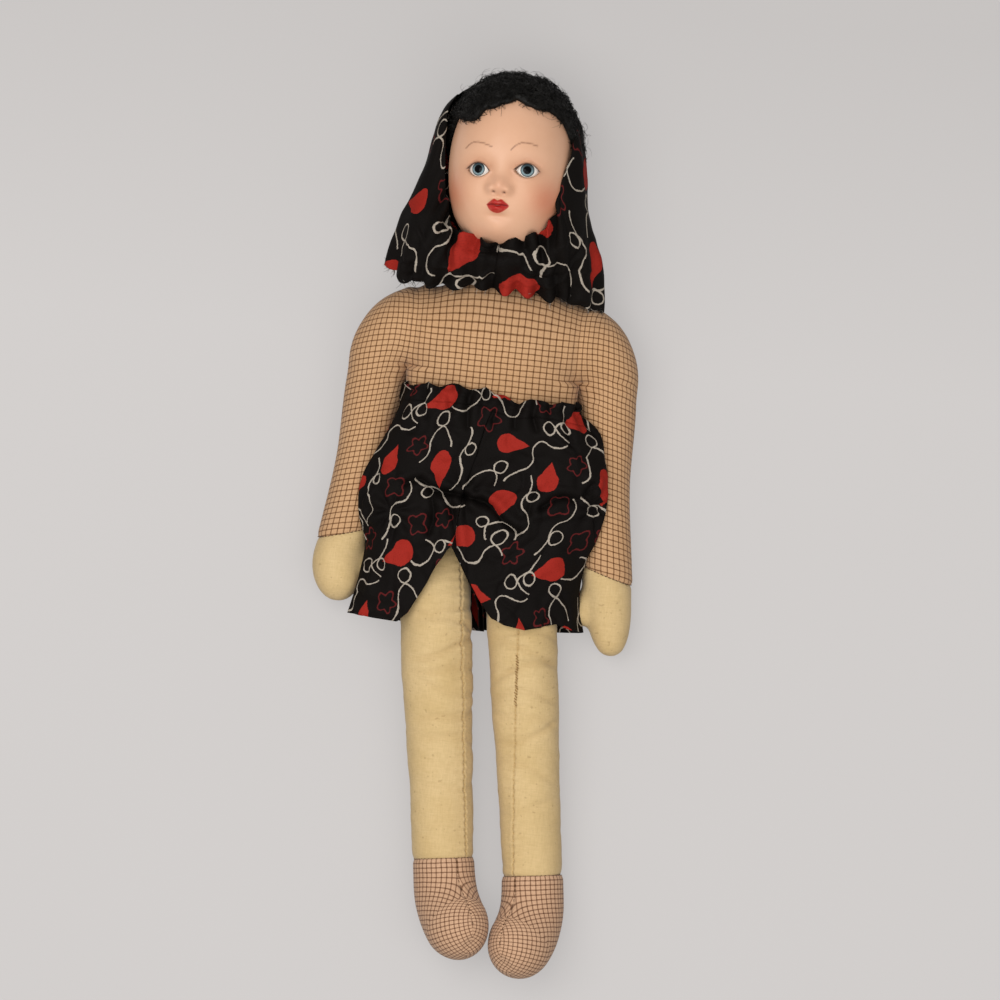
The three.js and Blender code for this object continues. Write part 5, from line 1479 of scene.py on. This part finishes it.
# Sprayed composition: satin flesh paint, a little mottled and scuffed, warm blown-on cheeks, and lips in a glossier
# red enamel.
flesh, tree = new_material("flesh_paint_on_composition")
place = node(tree, "ShaderNodeTexCoord", out="Object")
soft = node(tree, "ShaderNodeTexNoise", {"Vector": place, "Scale": 55.0, "Detail": 6.0, "Roughness": 0.6})
grime = node(tree, "ShaderNodeTexNoise", {"Vector": place, "Scale": 420.0, "Detail": 3.0})
colour = node(tree, "ShaderNodeMix", {0: soft, 6: linear(SKIN), 7: linear("cd9c7b")}, out=2, data_type="RGBA")
mask = {name: node(tree, "ShaderNodeAttribute", out="Fac", attribute_name=name) for name in masks}
for name, tone, most in (
    ("shade", "a86d4c", 0.7), ("blush", BLUSH, 0.72), ("brow", BROW_BROWN, 0.7), ("lash", "2a140f", 1.0),
    ("lips", LIP_RED, 0.97), ("parting", "5c0a0c", 0.85), ("nostril", "331510", 0.95), ("crack", "6b4430", 0.9),
):
    worn = node(tree, "ShaderNodeMapRange", [grime, 0.3, 0.5, 0.55 if name == "brow" else 0.9, 1.0])
    share = node(tree, "ShaderNodeMath", [mask[name], most], operation="MULTIPLY")
    share = node(tree, "ShaderNodeMath", [share, worn], operation="MULTIPLY")
    if name == "parting":
        share = node(tree, "ShaderNodeMath", [share, mask["lips"]], operation="MULTIPLY")
    colour = node(tree, "ShaderNodeMix", {0: share, 6: colour, 7: linear(tone)}, out=2, data_type="RGBA")
satin = node(tree, "ShaderNodeMapRange", [soft, 0.3, 0.7, 0.31, 0.43])
gloss = node(tree, "ShaderNodeMix", {0: mask["lips"], 2: satin, 3: 0.3})
grain = node(tree, "ShaderNodeTexNoise", {"Vector": place, "Scale": 700.0, "Detail": 2.0})
pitted = node(tree, "ShaderNodeBump", {"Strength": 0.12, "Distance": 0.0002, "Height": grain})
skin = node(
    tree, "ShaderNodeBsdfPrincipled",
    {"Base Color": colour, "Roughness": gloss, "IOR": 1.46, "Specular IOR Level": 0.36, "Coat Weight": 0.06,
     "Coat Roughness": 0.2, "Normal": pitted},
)
node(tree, "ShaderNodeOutputMaterial", {"Surface": skin}, out=None)


def capped_faces(rows, columns):
    """Quads between rings of points, and a fan over the last ring to the point that follows."""
    last = (rows - 1) * columns
    fan = [(rows * columns, last + c, last + (c + 1) % columns) for c in range(columns)]
    return loft_faces(rows, columns, close=False) + fan


top = len(flat)
faces = [f for f in capped_faces(len(tilt), HEAD_COLUMNS) if not all(v < top and below[v] for v in f)]
head = new_piece("head", to_doll(np.vstack([flat, [[0, HEAD_LENGTH / 2, 0]]])), faces, flesh)
for name, values in masks.items():
    layer = head.data.attributes.new(name, "FLOAT", "POINT")
    layer.data.foreach_set("value", np.append(values * face, 0).astype(np.float32))
rework(head, lambda mesh: bmesh.ops.delete(mesh, geom=[v for v in mesh.verts if not v.link_faces], context="VERTS"))
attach(head, "head")
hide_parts("head_shell")


# Eyes
# Blown glass balls set behind the lids: white, with a blue iris in a darker ring, a black pupil and a clear front.
EYE_RADIUS, EYE_INSET, IRIS_RADIUS, PUPIL_RADIUS, GAZE_UP = 9, 2.9, 3.5, 2.2, 0.7
EYE_STEPS, EYE_DEEP, CORNEA_RADIUS, CORNEA_HIGH = 64, 0.5, 3.4, 0.5

glass_eye, tree = new_material("blown_glass_eye")
gaze = node(tree, "ShaderNodeUVMap", uv_map="gaze")
far = node(tree, "ShaderNodeVectorMath", [gaze], out="Value", operation="LENGTH")
axes = node(tree, "ShaderNodeSeparateXYZ", [gaze], out=None)
spin = node(tree, "ShaderNodeMath", [axes.outputs[1], axes.outputs[0]], operation="ARCTAN2")
rays = node(
    tree, "ShaderNodeTexNoise",
    {"Vector": node(tree, "ShaderNodeCombineXYZ", [spin, far]), "Scale": 9.0, "Detail": 3.0, "Roughness": 0.7},
)
blue = node(
    tree, "ShaderNodeMix",
    {0: node(tree, "ShaderNodeMapRange", [rays, 0.3, 0.7]), 6: linear("5a6e74"), 7: linear("93a8ac")},
    out=2, data_type="RGBA",
)
# the iris darkens towards its top: a painted shadow of the upper lid
lid_shadow = node(tree, "ShaderNodeMapRange", [axes.outputs[1], -0.0008, 0.0024, 0.0, 0.85])
blue = node(tree, "ShaderNodeMix", {0: lid_shadow, 6: blue, 7: linear("16242a")}, out=2, data_type="RGBA")
bands = ((IRIS_RADIUS - 0.5, IRIS_RADIUS - 0.2, "1a2930"), (IRIS_RADIUS - 0.05, IRIS_RADIUS + 0.15, "e6e0d8"))
colour = node(
    tree, "ShaderNodeMix",
    {0: node(tree, "ShaderNodeMapRange", [far, PUPIL_RADIUS / 1000 - 0.0002, PUPIL_RADIUS / 1000 + 0.0002]),
     6: linear("020203"), 7: blue},
    out=2, data_type="RGBA",
)
for low, high, tone in bands:
    colour = node(
        tree, "ShaderNodeMix",
        {0: node(tree, "ShaderNodeMapRange", [far, low / 1000, high / 1000], interpolation_type="SMOOTHSTEP"),
         6: colour, 7: linear(tone)},
        out=2, data_type="RGBA",
    )
ball = node(
    tree, "ShaderNodeBsdfPrincipled",
    {"Base Color": colour, "Roughness": 0.08, "IOR": 1.5, "Specular IOR Level": 0.1},
)
node(tree, "ShaderNodeOutputMaterial", {"Surface": ball}, out=None)

for key, (ex, ey) in EYES.items():
    angle = np.arcsin(ex / (HEAD_WIDTH / 2))
    front = HEAD_DEPTH / 2 * math.cos(angle) + float(relief(np.array([ex]), np.array([ey]))[0])
    inset = EYE_INSET * math.copysign(1, ex)
    centre = np.array([ex - inset, ey, front - EYE_DEEP - EYE_RADIUS])
    polar = np.linspace(0.02, np.pi - 0.02, EYE_STEPS)[:, None]
    spin = np.linspace(0, 2 * np.pi, EYE_STEPS, endpoint=False)
    rings = np.stack([np.sin(polar) * np.cos(spin), np.sin(polar) * np.sin(spin), np.cos(polar) + 0 * spin], 2)
    rings *= EYE_RADIUS
    cornea = bell(np.hypot(rings[:, :, 0] - inset, rings[:, :, 1] - GAZE_UP), 0, CORNEA_RADIUS)
    rings[:, :, 2] += CORNEA_HIGH * cornea * (rings[:, :, 2] > 0)
    local = np.vstack([rings.reshape(-1, 3), [[0, 0, EYE_RADIUS], [0, 0, -EYE_RADIUS]]])
    eye = new_piece(f"eye_{key}_glass", to_doll(local + centre), loft_faces(EYE_STEPS, EYE_STEPS), glass_eye)
    behind = np.where(local[:, 2:] < 0, 4.0, 1.0)
    lay_flat(eye, (local[:, :2] - (inset, GAZE_UP)) * behind, "gaze")
    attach(eye, "head")
    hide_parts(f"eye_{key}")


# Wig
# A cap of black plush, glued over the crown down to a scalloped fringe. Its pile is matted into short curls.
WIG_ROOM, WIG_PILE, WIG_ROWS, WIG_COLUMNS = 0.6, 3.4, 70, 240
CURLS_ABOVE = 0.036  # metres; the pile behind is hidden by the kerchief
HAIRLINE = [  # degrees from the front, and height in the head's own frame
    (-180, -26), (-125, -20), (-100, -4), (-88, 8), (-81, 15.7), (-78, 20), (-70, 22.3), (-60, 21.0), (-50, 19.8),
    (-39, 19.9), (-33, 21.0), (-30, 22.3), (-26, 26.2), (-23, 28), (-18, 27.9), (-14, 28.6), (-7.4, 31), (-2, 31.6),
    (2.5, 32.5), (8.3, 34.3), (12.8, 33.4), (21.5, 31.2), (27, 30.9), (32, 29.8), (38, 29.9), (43, 29.4), (48, 29.5),
    (57.5, 27.6), (66.8, 23.8), (73.5, 17.5), (80, 12.8), (90, 6), (100, -4), (125, -20), (180, -26),
]

# Matted plush: very dark, dull, with a faint grey bloom where the pile is seen from the side.
plush, tree = new_material("black_plush")
place = node(tree, "ShaderNodeTexCoord", out="Object")
tuft = node(tree, "ShaderNodeTexNoise", {"Vector": place, "Scale": 600.0, "Detail": 4.0, "Roughness": 0.7})
tone = node(
    tree, "ShaderNodeMix",
    {0: node(tree, "ShaderNodeMapRange", [tuft, 0.35, 0.75]), 6: linear("040403"), 7: linear("14110d")},
    out=2, data_type="RGBA",
)
nap = node(tree, "ShaderNodeBump", {"Strength": 0.7, "Distance": 0.0006, "Height": tuft})
hair = node(
    tree, "ShaderNodeBsdfPrincipled",
    {"Base Color": tone, "Roughness": 0.42, "Specular IOR Level": 0.16, "Normal": nap},
)
node(tree, "ShaderNodeOutputMaterial", {"Surface": hair}, out=None)

angle = np.radians(np.linspace(-180, 180, WIG_COLUMNS, endpoint=False))
low = np.interp(np.degrees(angle), *np.array(HAIRLINE).T)
low += 0.5 * np.array([noise.noise(Vector((4 * a, 2.3, 0))) for a in angle])
level = np.linspace(0, 1, WIG_ROWS)[:, None] ** 1.2
tilt = np.arcsin(low / (HEAD_LENGTH / 2 + 2))[None, :] * (1 - level) + math.radians(89) * level
room = WIG_ROOM + WIG_PILE * np.sqrt(1 - (1 - np.minimum(1, level / 0.09)) ** 2)
cap = head_points(tilt, angle[None, :], room, 0.45 * room)
plump = 1.0 * lumps(cap.reshape(-1, 3), 6, 8) + 0.8 * lumps(cap.reshape(-1, 3), 2.4, 9)
cap = cap + unit(cap) * (plump.reshape(tilt.shape) * smoothstep(level, 0, 0.12))[:, :, None]
points = np.vstack([cap.reshape(-1, 3), cap[-1].mean(0)])
wig = new_piece("wig_cap_plush", to_doll(points), capped_faces(WIG_ROWS, WIG_COLUMNS), plush)
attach(wig, "head")
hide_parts("wig_cap")

# Short curved strands over a surface, each turned at random about the surface's normal.
pile, given, pile_inputs = new_tree("pile", ("Density", "Length", "Lift", "Thickness"))
scatter = node(
    pile, "GeometryNodeDistributePointsOnFaces",
    {"Mesh": given["Geometry"], "Density": given["Density"], "Seed": given["Seed"]}, out=None,
)
lift = node(pile, "ShaderNodeMath", [given["Length"], given["Lift"]], operation="MULTIPLY")
bend = node(pile, "ShaderNodeMath", [given["Length"], 0.45], operation="MULTIPLY")
lean = node(pile, "ShaderNodeMath", [lift, 0.35], operation="MULTIPLY")
line = node(
    pile, "GeometryNodeCurveQuadraticBezier",
    {"Resolution": 4, "Start": (0, 0, 0), "Middle": node(pile, "ShaderNodeCombineXYZ", [bend, None, lift]),
     "End": node(pile, "ShaderNodeCombineXYZ", [given["Length"], bend, lean])},
)
along = node(pile, "GeometryNodeSplineParameter", out="Factor")
taper = node(pile, "ShaderNodeMapRange", [along, 0.0, 1.0, 1.0, 0.25])
line = node(pile, "GeometryNodeSetCurveRadius", {"Curve": line, "Radius": taper})
strand_round = node(pile, "GeometryNodeCurvePrimitiveCircle", {"Resolution": 3, "Radius": given["Thickness"]})
strand = node(pile, "GeometryNodeCurveToMesh", {"Curve": line, "Profile Curve": strand_round, "Scale": taper})
stand = node(pile, "FunctionNodeAlignRotationToVector", {"Vector": scatter.outputs["Normal"]}, axis="Z")
turn = node(
    pile, "FunctionNodeRandomValue", {0: (-0.25, -0.25, -3.14), 1: (0.25, 0.25, 3.14), "Seed": given["Seed"]},
    data_type="FLOAT_VECTOR",
)
spun = node(pile, "FunctionNodeRotateRotation", {0: stand, 1: turn}, rotation_space="LOCAL")
size = node(pile, "FunctionNodeRandomValue", {2: 0.6, 3: 1.25, "Seed": given["Seed"]}, out=1, data_type="FLOAT")
realized(pile, given, node(
    pile, "GeometryNodeInstanceOnPoints",
    {"Points": scatter.outputs["Points"], "Instance": strand, "Rotation": spun, "Scale": size},
))

curls = copied(wig, "wig_curls")
rework(curls, lambda mesh: bmesh.ops.delete(
    mesh, geom=[f for f in mesh.faces if f.calc_center_median().z < CURLS_ABOVE], context="FACES"
))
grown(curls, pile, pile_inputs, Density=620000.0, Length=0.0036, Lift=0.5, Thickness=0.0002, Seed=5, Material=plush)
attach(curls, "head")

strays = copied(wig, "wig_strays")
grown(strays, pile, pile_inputs, Density=16000.0, Length=0.0072, Lift=0.8, Thickness=0.00011, Seed=9, Material=plush)
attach(strays, "head")


# Kerchief
# A printed cotton square over the wig, its edges brought forward along the cheeks and bunched under the chin. The raw
# hem hangs loose to the shoulders.
FACE_EDGE = {  # x, y, z of the edge round the face, from behind the fringe down to the chin, on either side
    -1: [
        (-34, 133, 44), (-38, 125, 46), (-38.4, 116.6, 49), (-37.2, 99.6, 51), (-35, 80.7, 52), (-31.6, 69.6, 54),
        (-27.5, 61.4, 58), (-21.4, 60.2, 63.5), (-15.6, 58.4, 66.5), (-4.4, 58.8, 68.5),
    ],
    1: [
        (26, 132, 50), (29.5, 122, 56), (29.2, 114, 61), (28.8, 107.4, 64), (26.4, 97.6, 66.5), (24.8, 87, 66.5),
        (23.8, 77.4, 66), (20.1, 67.5, 65.5), (15.4, 63, 68), (11.9, 63.5, 69), (6.4, 60.8, 69.5), (-4.4, 58.8, 68.5),
    ],
}
SCARF_HEM = [  # degrees from the back, towards the doll's left positive, and height of the hem
    (-180, 31.4), (-165, 31.8), (-148, 31), (-128, 31.6), (-112, 35.4), (-98, 39.5), (-80, 38.5), (-45, 36), (0, 35),
    (45, 34), (80, 28.5), (98, 26.6), (112, 27), (128, 28.2), (148, 30.3), (165, 31.8), (180, 31.4),
]
SCARF = [  # height, middle x, half width, back z, front z
    (24, -4, 57, 4, 53), (33, -4.5, 57, 3, 57), (40, -4.8, 56.3, 2, 62), (51, -4.7, 55, 1.2, 69.5),
    (58, -5, 53, 0.9, 74), (64, -5.4, 51.3, 0.8, 74.5), (80, -5.7, 46.3, 0.8, 71), (97, -4, 42.8, 0.8, 69),
    (110, -4.2, 40.5, 0.8, 68), (121, -4.4, 37.6, 1.2, 60), (129, -4.1, 33.6, 3.5, 55), (136.5, -4, 25.5, 9.5, 49),
    (142, -4, 14.5, 18.5, 43), (145.5, -4, 1.0, 27, 33),
]
SCARF_COLUMNS, SCARF_ROWS, SCARF_SQUARE = 360, 110, 2.25
SCARF_TOP, SCARF_TOP_Y = (-4.0, 145, 31), 145.5
SCARF_RADIUS, SCARF_PRINT = 52, 0.78  # where the cloth's width is measured, and the share that its print is read at
EDGE_FROM, EDGE_STEPS = 86, 400  # degrees from the back where the edge round the face begins

degrees = np.linspace(-180, 180, SCARF_COLUMNS)
edge = np.full((SCARF_COLUMNS, 3), SCARF_TOP)
for side, line in FACE_EDGE.items():
    here = degrees * side > EDGE_FROM - 4
    share = np.clip((np.abs(degrees[here]) - EDGE_FROM) / (180 - EDGE_FROM), 0, 1)
    edge[here] = through(line, EDGE_STEPS)[np.rint((EDGE_STEPS - 1) * share).astype(int)]
lowest = np.interp(degrees, *np.array(SCARF_HEM, float).T)
rise = np.linspace(0, 1, SCARF_ROWS)[:, None]
turn = np.radians(degrees)[None, :] * np.ones_like(rise)
y = lowest[None, :] + (edge[:, 1] - lowest)[None, :] * rise
middle, half, back, front = eased(SCARF, y.ravel()).T.reshape(4, *y.shape)
x = middle + half * bow(np.sin(turn), SCARF_SQUARE)
z = (back + front) / 2 - (front - back) / 2 * bow(np.cos(turn), SCARF_SQUARE)
drawn = smoothstep(rise, 0.3, 1) * smoothstep(np.abs(degrees), 80, 90)[None, :]
x = x + (edge[:, 0] - x[-1])[None, :] * drawn
z = z + (edge[:, 2] - z[-1])[None, :] * drawn
grid = np.stack([x, y, z], 2)
soft = lumps(grid.reshape(-1, 3), 22, 51).reshape(y.shape)
fine = lumps(grid.reshape(-1, 3), 8, 53).reshape(y.shape)
normal = unit(np.cross(np.gradient(grid, axis=1), np.gradient(grid, axis=0)))
chin = smoothstep(np.abs(degrees), 122, 150)[None, :]
folds = np.cos(13 * turn + 2.4 * soft) * (0.3 + 1.9 * smoothstep(-y, -75, -30)) * (1 - chin)
ruffles = np.cos(31 * turn + 2.6 * soft + 0.05 * y) * (1.5 + 2.2 * smoothstep(np.abs(rise - 0.45), 0.1, 0.5)) * chin
lip = smoothstep(rise, 0.82, 1.0) * chin
tied_in = 3.2 * bell(rise, 0.62, 0.16) * chin
lift = folds + ruffles + 1.1 * soft * smoothstep(-y, -110, -60) + 0.5 * fine - tied_in
lift *= 1 - 0.8 * drawn * (1 - chin)
wrinkled = 1.5 * crinkles(grid.reshape(-1, 3), 17, 61) - 1.3 * crinkles(grid.reshape(-1, 3), 12, 67)
lift += wrinkled.reshape(y.shape) * smoothstep(-y, -72, -54) * smoothstep(np.abs(degrees), 104, 128)[None, :]
grid = grid + normal * (lift * smoothstep(SCARF_TOP_Y - y, 2, 30))[:, :, None]
grid[:, :, 1] += lip * (1.1 * np.sin(17 * turn + 6 * soft) + 1.6 * fine)
grid[:, :, 1] += (1 - smoothstep(rise, 0, 0.12)) * (0.8 * np.sin(15 * turn + 5 * soft) + 1.1 * fine)
grid[:, :, 2] = np.maximum(grid[:, :, 2], 0.6)
steps_up = np.linalg.norm(np.diff(grid, axis=0), axis=2)
run_up = np.vstack([np.zeros(SCARF_COLUMNS), np.cumsum(steps_up, axis=0)])
places = SCARF_PRINT * np.stack([SCARF_RADIUS * turn, run_up + lowest[None, :]], 2)
scarf = sheet_of("kerchief", grid, places, loft_faces(SCARF_ROWS, SCARF_COLUMNS, cyclic=False, close=False))
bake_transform(scarf)
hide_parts("kerchief_hood", "kerchief_drape", "kerchief_tie")

# Threads that have come loose along the raw hem.
strip = loft_faces(2, SCARF_COLUMNS, cyclic=False, close=False)
for name, thread, seed in (("dark", "black_thread", 11), ("pale", "raw_thread", 12)):
    fray = new_piece(f"kerchief_{name}_fray", grid[:2].reshape(-1, 3), strip, spools[thread])
    grown(
        fray, pile, pile_inputs, Density=900000.0, Length=0.0048, Lift=0.5, Thickness=0.00017, Seed=seed,
        Material=spools[thread],
    )
    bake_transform(fray)
